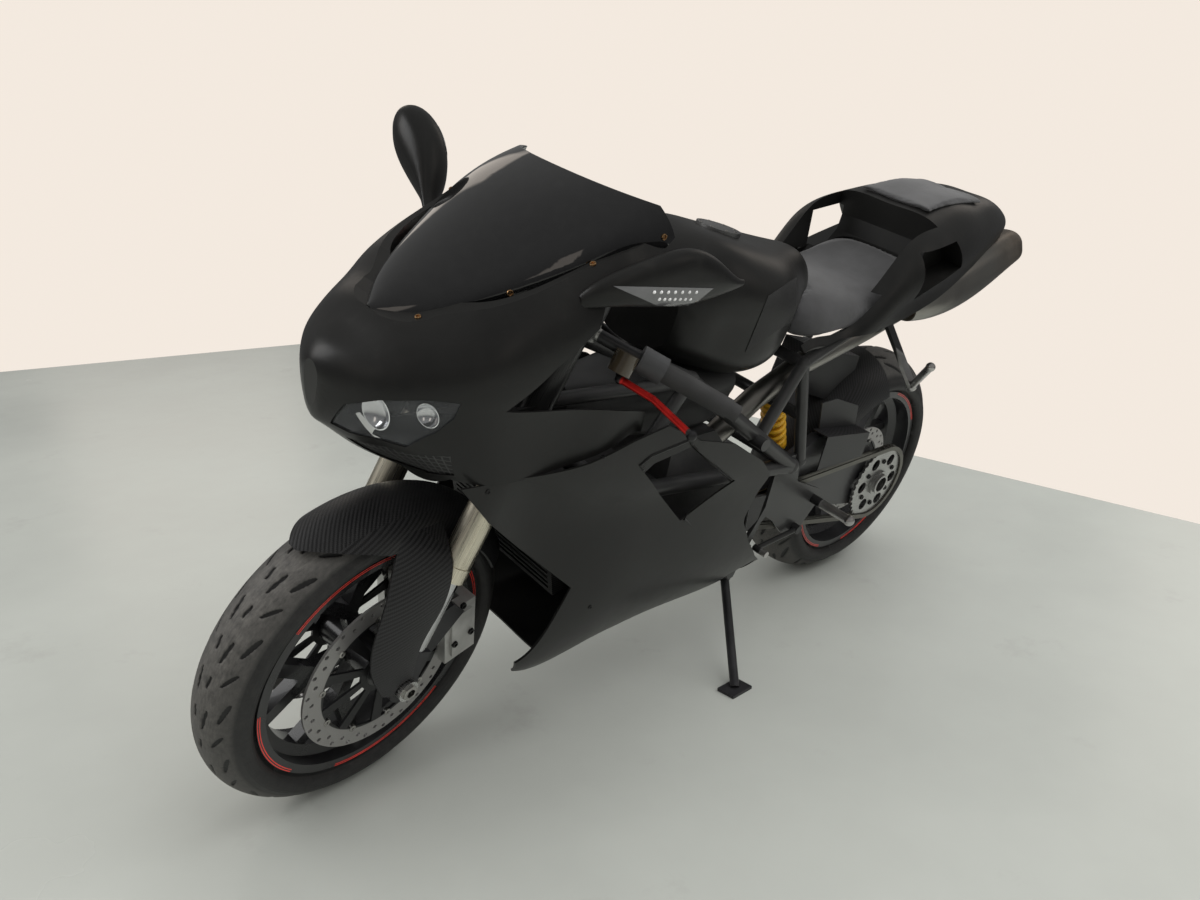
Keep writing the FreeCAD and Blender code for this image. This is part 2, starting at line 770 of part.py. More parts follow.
lower = triple_clamp("LowerYoke", lower_clamp_height, fork_tube_radius / 3)
upper = triple_clamp("UpperYoke", upper_clamp_height, fork_tube_radius / 3)
stem = rod(stem_radius, point(0, 0, lower_clamp_height), point(0, 0, upper_clamp_height + clamp_thickness),
           "Stem")
legs = [rod(fork_tube_radius + seat_gap, at_leg(side, fork_tube_bottom), at_leg(side,
                                                                                fork_tube_top + cut_over), "Leg")
        for side in (1, -1)]
sub_part("triple_clamps", cut(fuse([lower, upper, stem], "Yokes"), fuse(legs, "Through")),
         front_carrier, front_local)

# Clip-on bars: they leave the fork tubes below the upper clamp, swept back and drooped
bars = []
grips = []
switches = []
levers = []
cups = []
LEVER_SHARES = ((0.32, 0.45, 1.0), (0.62, 1.0, 1.0), (0.97, 1.3, 1.45))
for side in (1, -1):
    sweep = math.radians(float(bar_sweep_angle))
    droop = math.radians(float(bar_droop_angle))
    run = Vector(-math.sin(sweep) * math.cos(droop), side * math.cos(sweep) * math.cos(droop),
                 -math.sin(droop))
    start = at_leg(side, bar_height) + Vector(-float(fork_tube_radius) * 0.6,
                                              side * float(fork_tube_radius), 0)
    finish = start + run * float(bar_length)
    bars.append(rod(bar_radius, start, finish, "Bar"))
    ring = cylinder(fork_tube_radius * 1.35, clamp_thickness, at_leg(side,
                                                                     bar_height - clamp_thickness / 2), Z_AXIS, "Ring")
    bars.append(ring)
    grip_start = finish - run * float(grip_length)
    grips.append(rod(grip_radius, grip_start, finish, "Grip"))
    grips.append(rod(grip_radius * 0.85, finish, finish + run * float(grip_radius), "BarEnd"))
    switch_start = grip_start - run * float(grip_radius) * 2.6
    switches.append(rod(grip_radius * 1.35, switch_start, grip_start, "Switch"))
    perch = start + run * float(bar_length) * 0.18
    pivot, knee, tip = (start + run * float(bar_length) * along
                        + Vector(float(lever_reach) * ahead, 0, -float(lever_drop) * down)
                        for along, ahead, down in LEVER_SHARES)
    levers.append(rod(bar_radius * 0.6, perch, pivot, "Perch"))
    levers.append(ball(bar_radius * 0.8, pivot, "Pivot"))
    levers.append(rod(bar_radius * 0.55, pivot, knee, "Lever"))
    levers.append(ball(bar_radius * 0.55, knee, "Knee"))
    levers.append(rod(bar_radius * 0.55, knee, tip, "Blade"))
    levers.append(ball(bar_radius * 0.8, tip, "LeverEnd"))
    cup_foot = pivot + Vector(float(cup_radius) * 0.7, 0, float(bar_radius) * 0.8)
    cups.append(cylinder(cup_radius, cup_height, cup_foot, Z_AXIS, "Cup"))
sub_part("clip_on_bars", cut(fuse(bars, "Bars"), fuse(legs, "Through")), front_carrier, front_local)
sub_part("grips", cut(fuse(grips, "Grips"), fuse(bars, "BarCore")), front_carrier, front_local)
sub_part("switchgear", cut(fuse(switches, "Switches"), fuse(bars, "SwitchCore")), front_carrier, front_local)
sub_part("levers", cut(fuse(levers, "Levers"), fuse(bars, "BarRoom")), front_carrier, front_local)
sub_part("fluid_reservoirs", cut(fuse(cups, "Cups"), fuse(levers + bars, "LeverRoom")), front_carrier,
         front_local)
doc.recompute()

# Calipers: blocks over the rim of each disc, bolted radially to lugs on the fork feet
caliper_turn = Placement(point(fork_offset, 0, 0), Rotation(Y_AXIS, -float(caliper_angle)))


def caliper_block(side, inner, outer, half_length, half_width, name="Caliper"):
    """Block in the caliper's own frame: inner to outer radius, along the disc's rim, across the disc."""
    item = block(outer - inner, half_width * 2, half_length * 2, ORIGIN, name)
    corner = point(inner, side * float(disc_offset) - float(half_width), -half_length)
    item.Placement = caliper_turn * Placement(corner, Rotation())
    return item


LUG_SHARES = ((0.55, 1.0), (0.55, 0.1), (-0.75, 0.45), (-1.35, 1.9), (-0.8, 2.1))
blocks = []
slots = []
rooms = []
for side in (1, -1):
    blocks.append(caliper_block(side, caliper_inner, caliper_outer, caliper_length / 2, caliper_width / 2))
    ridge = caliper_block(side, caliper_inner + rim_wall * 2, caliper_outer - rim_wall * 2,
                          caliper_length * 0.38,
                          caliper_width / 2 + rim_wall, "Pistons")
    blocks.append(ridge)
    slots.append(caliper_block(side, caliper_inner - rim_wall, front_disc_radius + rim_wall, caliper_length,
                               disc_thickness * 1.5, "Slot"))
    rooms.append(caliper_block(side, caliper_inner - seat_gap, caliper_outer, caliper_length / 2 + seat_gap,
                               caliper_width / 2 + rim_wall + seat_gap, "CaliperRoom"))
    lug_near = float(disc_offset + caliper_width / 4)
    lug_spots = [(float(fork_offset + fork_foot_top * along), float(fork_foot_top * up)) for along,
                 up in LUG_SHARES]
    feet.append(feature(plate(lug_spots, lug_near, float(fork_spacing), side, True), "Lug"))
sub_part("front_calipers", cut(fuse(blocks, "Calipers"), fuse(slots, "Slots")), front_carrier, front_local)
slider_rooms = [rod(fork_slider_radius, at_leg(side, fork_foot_top), at_leg(side, fork_tube_bottom),
                    "SliderRoom")
                for side in (1, -1)]
sub_part("fork_feet", cut(fuse(feet, "Feet"), fuse(rooms + slider_rooms + [axle_hole], "FootRoom")),
         front_carrier, front_local)

# Front fender: a shell over the tyre that flares out to guards down the fork legs
fender_gap = size("fender_gap", 14)
fender_wall = size("fender_wall", 3)
fender_front_angle = size("fender_front_angle", 62)
fender_rear_angle = size("fender_rear_angle", 28)
hugger_front_angle = size("hugger_front_angle", 14)
hugger_rear_angle = size("hugger_rear_angle", 98)
doc.recompute()


def arched_shell(tyre_radius, tyre_width, crown, gap, wall, front_angle, rear_angle):
    """Arched shell about an axle, from front_angle above level ahead to rear_angle above level behind."""
    inner = float(tyre_radius) + float(gap)
    half = float(tyre_width) / 2 + float(gap)
    drop = float(crown) * 0.95

    def arch(reach, side):
        a, b, c = Vector(reach - drop, -side, 0), Vector(reach, 0, 0), Vector(reach - drop, side, 0)
        return Part.Arc(a, b, c).toShape(), a, c
    top, a, c = arch(inner + float(wall), half + float(wall))
    under, d, e = arch(inner, half)
    wire = Part.Wire([top, Part.LineSegment(c, e).toShape(), under, Part.LineSegment(d, a).toShape()])
    face = Part.Face(wire)
    face.rotate(ORIGIN, Y_AXIS, -float(front_angle))
    return face.revolve(ORIGIN, Y_AXIS, -(180 - float(front_angle) - float(rear_angle)))


# Leg guard sections, each its height, then its front edge, middle and rear edge: ahead of the head and
# out from the middle, in shares of the tyre radius
GUARD_SHARES = (
    (0.967, (0.427, 0.133), (0.327, 0.167), (0.213, 0.193)),
    (0.873, (0.487, 0.207), (0.360, 0.260), (0.213, 0.320)),
    (0.783, (0.507, 0.253), (0.373, 0.327), (0.207, 0.400)),
    (0.667, (0.507, 0.287), (0.373, 0.373), (0.19, 0.437)),
    (0.533, (0.500, 0.327), (0.367, 0.407), (0.18, 0.447)),
    (0.333, (0.487, 0.360), (0.353, 0.423), (0.19, 0.443)),
    (0.183, (0.460, 0.383), (0.327, 0.430), (0.16, 0.441)),
    (0.060, (0.387, 0.403), (0.260, 0.433), (0.11, 0.441)),
    (-0.047, (0.267, 0.420), (0.187, 0.434), (0.100, 0.437)))
# Front view of the room under the crown's edge: out from the middle and up, in shares of the tyre radius
CROWN_EDGE_SHARES = ((0.0, 0.627), (0.15, 0.70), (0.25, 0.75), (0.8, 0.765))
fender = arched_shell(front_tyre_radius, front_tyre_width, front_crown_radius, fender_gap, fender_wall,
                      fender_front_angle, fender_rear_angle)
fender.Placement = Placement(point(fork_offset, 0, 0), Rotation(Y_AXIS, float(rake_angle)))
edge = [(float(front_tyre_radius) * out, float(front_tyre_radius) * up) for out, up in CROWN_EDGE_SHARES]
crown_room = front_prism([(-out, up) for out, up in reversed(edge)] + edge[1:]
                         + [(edge[-1][0], -float(front_tyre_radius)), (-edge[-1][0],
                                                                       -float(front_tyre_radius))],
                         front_tyre_radius * 0.48, front_tyre_radius * 2)
fender = fender.cut(crown_room)


def guard_section(row, side):
    """Curved strip at one height: outer curve, inner curve and the two edges."""
    up = float(front_tyre_radius) * row[0]
    outer = [point(front_tyre_radius * along, side * float(front_tyre_radius) * out, up) for along,
             out in row[1:]]
    inner = [place - point(0, side * float(guard_wall), 0) for place in reversed(outer)]
    curves = []
    for spots in (outer, inner):
        curve = Part.BSplineCurve()
        curve.interpolate(spots)
        curves.append(curve.toShape())
    return Part.Wire([curves[0], Part.LineSegment(outer[-1], inner[0]).toShape(), curves[1],
                      Part.LineSegment(inner[-1], outer[0]).toShape()])


foot_reach = fork_foot_width / 2 + seat_gap
foot_room = Part.makeBox(float(foot_reach) * 2, float(fork_spacing + foot_reach) * 2,
                         float(front_tyre_radius) * 2,
                         point(fork_offset - foot_reach, -fork_spacing - foot_reach, -front_tyre_radius))
clamp_room = Part.makeCylinder(float(axle_clamp_radius + seat_gap), float(fork_spacing + foot_reach) * 2,
                               point(fork_offset, -fork_spacing - foot_reach, 0), Y_AXIS)
nut_room = Part.makeCylinder(float(front_axle_radius) * 1.6 + float(rim_wall) / 2,
                             float(front_tyre_radius) * 2,
                             point(fork_offset, -front_tyre_radius, 0), Y_AXIS)
for side in (1, -1):
    guard = Part.makeLoft([guard_section(row, side) for row in GUARD_SHARES], True, False)
    fender = fender.fuse(guard.cut(nut_room).cut(foot_room).cut(clamp_room))
leg_room = float(fork_tube_radius) + float(guard_wall)
for side in (1, -1):
    room = Part.makeCylinder(leg_room, float(fork_tube_top), at_leg(side, fork_tube_bottom - guard_wall),
                             Z_AXIS)
    fender = fender.cut(room)
sub_part("front_fender", feature(fender, "FenderShell"), front_carrier, front_local)

# Bodywork

NOSE_SHARES = (
    (0.00, 0.09, 0.310, 0.417, 0.463, 2.0),
    (0.02, 0.23, 0.260, 0.412, 0.500, 2.1),
    (0.05, 0.37, 0.235, 0.408, 0.527, 2.2),
    (0.10, 0.535, 0.190, 0.406, 0.558, 2.3),
    (0.174, 0.68, 0.140, 0.406, 0.608, 2.4),
    (0.26, 0.81, 0.090, 0.412, 0.636, 2.8),
    (0.37, 0.93, -0.06, 0.427, 0.703, 3.4),
    (0.50, 0.98, -0.20, 0.438, 0.782, 4.0),
    (0.69, 1.00, -0.22, 0.500, 0.896, 4.0),
    (0.88, 1.00, -0.15, 0.563, 0.958, 3.8),
    (1.00, 0.986, -0.10, 0.604, 0.977, 3.6))
NOSE_OUTLINE_SHARES = (
    (-0.10, -0.02), (0.255, -0.05), (0.297, 0.146), (0.545, 0.138), (0.73, 0.158), (0.93, 0.19), (1.11,
                                                                                                  0.212),
    (1.03, 0.267), (0.818, 0.323), (0.398, 0.406), (0.527, 0.548), (0.667, 0.656), (0.70, 0.75), (0.88, 0.82),
    (0.992, 0.868), (0.98, 0.886), (0.88, 0.878), (0.778, 0.854), (0.69, 0.825), (0.529, 0.752), (0.37,
                                                                                                  0.681),
    (0.26, 0.625), (0.215, 0.612), (0.172, 0.605), (0.15, 0.64), (-0.10, 0.64))
nose_front = wheelbase + nose_overhang
nose_outer = ovals(NOSE_SHARES, nose_front, nose_length, nose_half_width, nose_floor, nose_height)
nose_inner = ovals(NOSE_SHARES, nose_front - shell_wall, nose_length, nose_half_width, nose_floor,
                   nose_height,
                   float(shell_wall))
nose_prism = side_prism(scaled(NOSE_OUTLINE_SHARES, nose_front, nose_length, nose_floor, nose_height),
                        nose_half_width * 1.2)

LAMP_SHARES = ((0.163, 0.279), (0.30, 0.371), (0.51, 0.419), (0.70, 0.44), (0.83, 0.44), (0.80, 0.385),
               (0.74, 0.335), (0.60, 0.264), (0.49, 0.277), (0.288, 0.268))
MESH_SHARES = ((0.21, 0.235), (0.49, 0.25), (0.60, 0.235), (0.78, 0.25), (0.76, 0.17), (0.58, 0.145),
               (0.36, 0.165))


def nose_window(shares, side):
    spots = []
    for across, up in shares:
        spots.append((side * (across * float(nose_half_width)), float(nose_floor) + up * float(nose_height)))
    prism = front_prism(spots, nose_front - nose_length * 0.5, nose_front + cut_over)
    return prism


# Windscreen: a bubble that rises from the fairing's edge, cut off by a plane that falls to the rear
screen_front = size("screen_front", 1449)
screen_length = size("screen_length", 409)
screen_half_width = size("screen_half_width", 185)
screen_floor = size("screen_floor", 928)
screen_height = size("screen_height", 260)
screen_tuck = size("screen_tuck", 10)
doc.recompute()
SCREEN_SHARES = (
    (0.00, 0.06, 0.00, 0.02, 2.0),
    (0.04, 0.17, 0.015, 0.06, 2.0),
    (0.105, 0.335, 0.05, 0.135, 2.0),
    (0.237, 0.55, 0.152, 0.28, 2.0),
    (0.43, 0.765, 0.285, 0.485, 2.0),
    (0.626, 0.927, 0.415, 0.67, 2.1),
    (0.80, 0.985, 0.485, 0.80, 2.2),
    (1.00, 1.00, 0.527, 0.93, 2.3))
SCREEN_OUTLINE_SHARES = ((-0.05, -0.10), (-0.05, 0.10), (0.20, 0.50), (0.723, 0.775), (0.945, 0.695), (1.0,
                                                                                                       0.527),
                         (0.9, 0.40), (0.3, -0.10))


def arch_wire(x, half_width, edge, ridge, fullness, wall=None):
    """Arched section: outer curve, inner curve and the two edges, or a filled arch without a wall."""
    def curve(reach, top, order):
        spots = []
        for step in range(11):
            angle = math.pi * step / 10
            across, up = math.cos(angle), math.sin(angle)
            power = 2.0 / fullness
            spots.append(Vector(x, reach * math.copysign(abs(across) ** power, across),
                                edge + (top - edge) * abs(up) ** power))
        if order < 0:
            spots.reverse()
        spline = Part.BSplineCurve()
        spline.interpolate(spots)
        return spline.toShape(), spots[0], spots[-1]
    outer, a, b = curve(half_width, ridge, 1)
    if wall is None:
        return Part.Wire([outer, Part.LineSegment(b, a).toShape()])
    inner, c, d = curve(half_width - wall, ridge - wall, -1)
    return Part.Wire([outer, Part.LineSegment(b, c).toShape(), inner, Part.LineSegment(d, a).toShape()])


def screen_form(wall=None, grow=0):
    wires = []
    for back, wide, edge, ridge, fullness in SCREEN_SHARES:
        wires.append(arch_wire(float(screen_front) - back * float(screen_length),
                               wide * float(screen_half_width) + grow,
                               float(screen_floor) + edge * float(screen_height) - float(screen_tuck) - grow,
                               float(screen_floor) + ridge * float(screen_height) + grow, fullness, wall))
    return Part.makeLoft(wires, True, False)


screen = screen_form(float(screen_wall))
screen_solid = screen_form(None, float(seat_gap))
screen_cut = side_prism(scaled(SCREEN_OUTLINE_SHARES, screen_front, screen_length, screen_floor,
                               screen_height),
                        screen_half_width * 1.2)
screen = screen.common(screen_cut)
sub_part("windscreen", feature(screen, "Screen"))

nose_shell = nose_outer.cut(screen_solid).common(nose_prism).cut(nose_inner)
for side in (1, -1):
    nose_shell = nose_shell.cut(nose_window(LAMP_SHARES, side))
    nose_shell = nose_shell.cut(nose_window(MESH_SHARES, side))
nose_shell = largest(nose_shell)
sub_part("nose_fairing", feature(nose_shell, "NoseShell"))

lamp_body = ovals(NOSE_SHARES, nose_front - shell_wall / 2, nose_length, nose_half_width, nose_floor,
                  nose_height,
                  float(shell_wall) / 2)
lamp_back = ovals(NOSE_SHARES, nose_front - lamp_depth, nose_length, nose_half_width, nose_floor, nose_height,
                  float(lamp_depth))
lamps = []
mesh_parts = []
for side in (1, -1):
    lamps.append(lamp_body.common(nose_window(LAMP_SHARES, side)).cut(lamp_back))
    mesh_parts.append(lamp_body.common(nose_window(MESH_SHARES, side)).cut(nose_inner))
sub_part("headlights", feature(Part.makeCompound(lamps), "Lamps"))
sub_part("intake_mesh", feature(Part.makeCompound(mesh_parts), "Mesh"))

# Lower fairing: a hull split into left and right panels
HULL_SHARES = (
    (0.00, 0.86, 0.50, 0.77, 0.95, 2.3),
    (0.10, 0.93, 0.32, 0.74, 1.00, 2.8),
    (0.20, 0.957, 0.085, 0.68, 1.00, 6.0),
    (0.30, 0.98, 0.06, 0.62, 1.00, 5.0),
    (0.45, 1.00, 0.035, 0.60, 1.00, 3.4),
    (0.60, 1.00, 0.02, 0.56, 0.97, 3.0),
    (0.75, 0.98, 0.005, 0.50, 0.86, 2.9),
    (0.88, 0.92, 0.00, 0.40, 0.72, 2.6),
    (1.00, 0.82, 0.01, 0.33, 0.58, 2.4))
HULL_OUTLINE_SHARES = (
    (0.012, 0.7455), (0.135, 0.7475), (0.227, 0.760), (0.325, 0.781), (0.415, 0.790), (0.506,
                                                                                       0.723), (0.618, 0.675),
    (0.726, 0.583), (0.772, 0.522), (0.742, 0.367), (0.792, 0.268), (0.86, 0.17), (0.956, 0.064), (0.94,
                                                                                                   -0.05),
    (0.20, -0.05), (0.212, 0.076), (0.185, 0.167), (0.271, 0.372), (0.15, 0.53), (0.067, 0.646))
DUCT_SHARES = ((0.367, 0.685), (0.388, 0.703), (0.484, 0.715), (0.654, 0.546), (0.526, 0.464))
hull_outer = ovals(HULL_SHARES, hull_front, hull_length, hull_half_width, hull_floor, hull_height)
hull_inner = ovals(HULL_SHARES, hull_front, hull_length, hull_half_width, hull_floor, hull_height,
                   float(shell_wall))
hull_shell = hull_outer.cut(hull_inner)
hull_prism = side_prism(scaled(HULL_OUTLINE_SHARES, hull_front, hull_length, hull_floor, hull_height),
                        hull_half_width * 1.2)
duct_prism = side_prism(scaled(DUCT_SHARES, hull_front, hull_length, hull_floor, hull_height),
                        hull_half_width * 1.2)
panels = hull_shell.common(hull_prism).cut(duct_prism)
wheel_room = Part.makeBox(float(wheelbase), float(wheel_room_half) * 2, float(hull_height) * 0.6,
                          point(wheel_room_rear, -wheel_room_half, hull_floor - cut_over))
panels = panels.cut(wheel_room)
STAND_ROOM_SHARES = ((0.355, 0.10), (0.355, 0.262), (0.425, 0.262), (0.455, 0.10))
stand_room = plate(STAND_ROOM_SHARES, stand_pivot_y * 0.7, stand_pivot_y * 2)
for side, label in ((1, "lower_fairing_left"), (-1, "lower_fairing_right")):
    reach = float(hull_half_width) * 1.3
    low = point(hull_front - hull_length * 1.1, float(seat_gap) / 2 if side > 0 else -reach,
                hull_floor - cut_over * 2)
    half_space = Part.makeBox(float(hull_length) * 1.3, reach - float(seat_gap) / 2,
                              float(hull_height) * 1.4, low)
    panel = panels.common(half_space).cut(nose_shell)
    if side > 0:
        panel = panel.cut(stand_room)
    panel = largest(panel)
    sub_part(label, feature(panel, "Panel"))

# Tank, saddle and tail
TANK_SHARES = (
    (0.00, 0.62, 0.22, 0.52, 0.85, 2.4),
    (0.16, 0.88, 0.12, 0.52, 0.95, 3.0),
    (0.32, 0.97, 0.03, 0.50, 0.915, 3.2),
    (0.46, 0.97, 0.00, 0.47, 0.86, 3.1),
    (0.58, 0.86, 0.02, 0.45, 0.82, 2.9),
    (0.68, 0.70, 0.07, 0.44, 0.79, 2.6),
    (0.80, 0.50, 0.18, 0.45, 0.755, 2.3),
    (0.90, 0.32, 0.34, 0.50, 0.69, 2.1))
SADDLE_SHARES = (
    (0.02, 0.79, 0.11, 0.25, 0.69, 2.6),
    (0.13, 0.96, 0.04, 0.17, 0.74, 2.8),
    (0.31, 1.00, 0.02, 0.17, 0.68, 2.9),
    (0.48, 1.00, 0.02, 0.19, 0.60, 2.9),
    (0.66, 0.98, 0.05, 0.27, 0.60, 2.9),
    (0.81, 0.92, 0.19, 0.46, 0.73, 2.7),
    (0.92, 0.80, 0.46, 0.73, 0.88, 2.5),
    (1.00, 0.53, 0.69, 0.85, 0.96, 2.3))
TAIL_SHARES = (
    (0.00, 0.93, 0.02, 0.09, 0.16, 2.6),
    (0.12, 0.95, 0.00, 0.09, 0.20, 2.8),
    (0.24, 0.98, 0.01, 0.14, 0.36, 3.0),
    (0.32, 1.00, 0.00, 0.28, 0.62, 3.4),
    (0.38, 1.00, 0.00, 0.36, 0.79, 4.0),
    (0.47, 0.98, 0.02, 0.42, 0.86, 4.2),
    (0.57, 0.93, 0.06, 0.46, 0.91, 4.0),
    (0.69, 0.83, 0.14, 0.52, 0.93, 3.8),
    (0.80, 0.71, 0.24, 0.56, 0.925, 3.6),
    (0.90, 0.58, 0.36, 0.61, 0.88, 3.4),
    (0.97, 0.45, 0.47, 0.64, 0.80, 3.2),
    (1.00, 0.34, 0.54, 0.66, 0.75, 3.0))
BAY_SHARES = ((-0.1, -0.1), (0.20, -0.1), (0.34, 0.14), (0.43, 0.36), (0.485, 0.53), (0.49, 0.66), (0.46,
                                                                                                    1.2),
              (-0.1, 1.2))
UNDER_SHARES = ((0.3, -0.1), (0.36, 0.20), (0.55, 0.30), (0.80, 0.46), (0.93, 0.56), (1.1, 0.50), (1.1, -0.1))
BELLY_SHARES = ((-0.1, 0.06), (0.134, 0.120), (0.284, 0.134), (0.386, 0.185), (0.532, 0.274), (0.64, 0.363),
                (0.718, 0.43), (0.844, 0.50), (1.1, 0.60), (1.1, -0.3), (-0.1, -0.3))
SCOOP_SHARES = ((0.379, 0.685), (0.531, 0.74), (0.592, 0.52), (0.393, 0.336))
PERCH_SHARES = ((0.497, 0.5), (0.497, 1.2), (0.76, 1.2), (0.76, 0.5))
LIGHT_SHARES = ((0.975, 0.56), (1.05, 0.56), (1.05, 0.70), (0.975, 0.70))
CAP_SHARES = (0.375, 0.835)


def tail_prism(shares, half_width):
    return side_prism(scaled(shares, tail_front, tail_length, tail_floor, tail_height), half_width)


tank = ovals(TANK_SHARES, tank_front, tank_length, tank_half_width, tank_floor, tank_height)
saddle = ovals(SADDLE_SHARES, saddle_front, saddle_length, saddle_half_width, saddle_floor,
               saddle_height).cut(tank)
cap_foot = point(tank_front - tank_length * CAP_SHARES[0], 0, tank_floor + tank_height * CAP_SHARES[1])
cap_up = Rotation(Y_AXIS, -float(cap_tilt)).multVec(Z_AXIS)
cap = Part.makeCylinder(float(cap_radius), float(cap_rise) * 5, cap_foot, cap_up).cut(tank)

# Engine: one plain block
engine_body = new_body("Engine")
e_low, e_high = engine_floor, engine_floor + engine_height
e_rear, e_front = engine_rear, engine_rear + engine_length
chamfer = engine_height / 4
profile = sketch(engine_body, "Side", "XZ_Plane", [
    (e_rear, e_low + chamfer / 2), (e_rear + chamfer / 2, e_low), (e_front - chamfer, e_low),
    (e_front, e_low + chamfer), (e_front, e_high - chamfer * 2), (e_front - chamfer * 2, e_high - chamfer),
    (e_front - chamfer * 2, e_high), (e_rear + chamfer, e_high), (e_rear, e_high - chamfer)])
pad(engine_body, profile, engine_width)
engine_shape = engine_body.Shape
sub_part("engine_block", engine_body)

# Airbox: fills the room between the tank and the engine, inside the frame
AIRBOX_SHARES = (
    (0.00, 0.36, 0.30, 0.62, 0.95, 4.0), (0.25, 0.62, 0.05, 0.5, 1.0, 5.0), (0.50, 0.86, 0.00, 0.5, 1.0, 6.0),
    (0.80, 1.00, 0.00, 0.5, 1.0, 6.0), (1.00, 0.90, 0.15, 0.5, 0.95, 5.0))
tank_room = ovals(TANK_SHARES, tank_front, tank_length, tank_half_width, tank_floor, tank_height,
                  -float(seat_gap))
airbox_floor = engine_floor + engine_height + seat_gap
airbox = ovals(AIRBOX_SHARES, airbox_front, airbox_length, airbox_half_width, airbox_floor, airbox_height)
above_engine = Part.makeBox(float(airbox_length) * 2, float(airbox_half_width) * 4, float(airbox_height) * 2,
                            point(airbox_front - airbox_length * 1.5, -airbox_half_width * 2, airbox_floor))
airbox = airbox.common(above_engine).cut(tank_room)
sub_part("airbox", feature(largest(airbox), "Airbox"))

# Trellis frame and seat rails. Places in shares: along the wheelbase, across the half width, up the body
FRAME_SHARES = {
    "head_high": (0.7885, 0.22, 0.8765), "head_low": (0.841, 0.22, 0.735), "beam_mid": (0.60, 0.84, 0.765),
    "pivot": (0.325, 0.95, 0.495), "low_mid": (0.70, 0.84, 0.560), "brace_low": (0.415, 0.88, 0.595),
    "seat_front": (0.350, 0.83, 0.738), "seat_rear": (0.133, 0.66, 0.812), "stay_low": (0.303, 0.95, 0.500),
    "shock_cross": (0.325, 0.893, 0.613), "cap_inner": (0.44, 0.93, 0.600), "cap_outer": (0.44, 1.14, 0.600)}
FRAME_RUNS = (
    (1, "head_high", "beam_mid"), (1, "beam_mid", "pivot"), (1, "head_low", "low_mid"), (1, "low_mid",
                                                                                         "pivot"),
    (0, "beam_mid", "low_mid"), (0, "head_low", "beam_mid"), (0, "brace_low", "seat_front"),
    (0, "seat_front", "seat_rear"), (0, "stay_low", "seat_front"))
WELDS = (("beam_mid", 1), ("pivot", 1), ("low_mid", 1), ("seat_front", 0), ("stay_low", 0))
SIDE_PLATE_SHARES = ((0.308, 0.520), (0.290, 0.440), (0.212, 0.388), (0.212, 0.350), (0.245, 0.285),
                     (0.291, 0.300),
                     (0.329, 0.350), (0.360, 0.380), (0.360, 0.520))
STAND_ARM_SHARES = ((0.335, 0.40), (0.360, 0.40), (0.412, 0.240), (0.405, 0.225), (0.394, 0.228), (0.385,
                                                                                                   0.270),
                    (0.360, 0.360))


def frame_node(name, side):
    return spot(FRAME_SHARES[name], side)


frame_bars = []
for side in (1, -1):
    for main, first, second in FRAME_RUNS:
        radius = frame_tube_radius if main else brace_tube_radius
        frame_bars.append(rod(radius, frame_node(first, side), frame_node(second, side), "Bar"))
    for name, main in WELDS:
        radius = frame_tube_radius if main else brace_tube_radius
        frame_bars.append(ball(radius * 1.12, frame_node(name, side), "Weld"))
    frame_bars.append(rod(frame_tube_radius * 0.8, frame_node("cap_inner", side), frame_node("cap_outer",
                                                                                             side), "MountCap"))
    mount = frame_node("low_mid", side)
    seat_y = side * float(engine_width / 2 + seat_gap)
    frame_bars.append(rod(brace_tube_radius, mount, Vector(mount.x, seat_y, mount.z), "EngineMount"))
    side_plate = plate(SIDE_PLATE_SHARES, plate_inside, plate_inside + plate_thickness, side)
    frame_bars.append(feature(side_plate, "SidePlate"))
for name in ("pivot", "shock_cross", "seat_front", "seat_rear"):
    frame_bars.append(rod(brace_tube_radius, frame_node(name, 1), frame_node(name, -1), "Cross"))
for side in (1, -1):
    share = 0.78
    hold = frame_node("head_low", side) * (1 - share) + frame_node("low_mid", side) * share
    rise = math.tan(math.radians(float(radiator_tilt)))
    back_x = float(radiator_x) + (hold.z - float(radiator_z) - float(lever_radius)) * rise - float(seat_gap)
    frame_bars.append(rod(lever_radius, hold, Vector(back_x, hold.y, hold.z), "RadiatorHold"))
stand_arm = plate(STAND_ARM_SHARES, plate_inside, plate_inside + plate_thickness)
frame_bars.append(feature(stand_arm, "StandArm"))
stand_pivot = point(stand_pivot_x, stand_pivot_y, stand_pivot_z)
frame_bars.append(rod(stand_pin_radius, stand_pivot - stand_line * float(stand_radius) * 1.8,
                      stand_pivot + stand_line * float(plate_thickness) * 3.2, "StandPin"))
head_low = steer_frame.multVec(point(0, 0, lower_clamp_height + clamp_thickness / 2 + running_gap * 4))
head_high = steer_frame.multVec(point(0, 0, upper_clamp_height - clamp_thickness / 2 - running_gap * 4))
head_bore = rod(stem_radius + running_gap, head_low - steer_up * float(cut_over),
                head_high + steer_up * float(cut_over),
                "HeadBore")
trellis = fuse(frame_bars + [rod(head_tube_radius, head_low, head_high, "HeadTube")], "Trellis")
sub_part("trellis_frame", cut(trellis, head_bore, "Bored"))


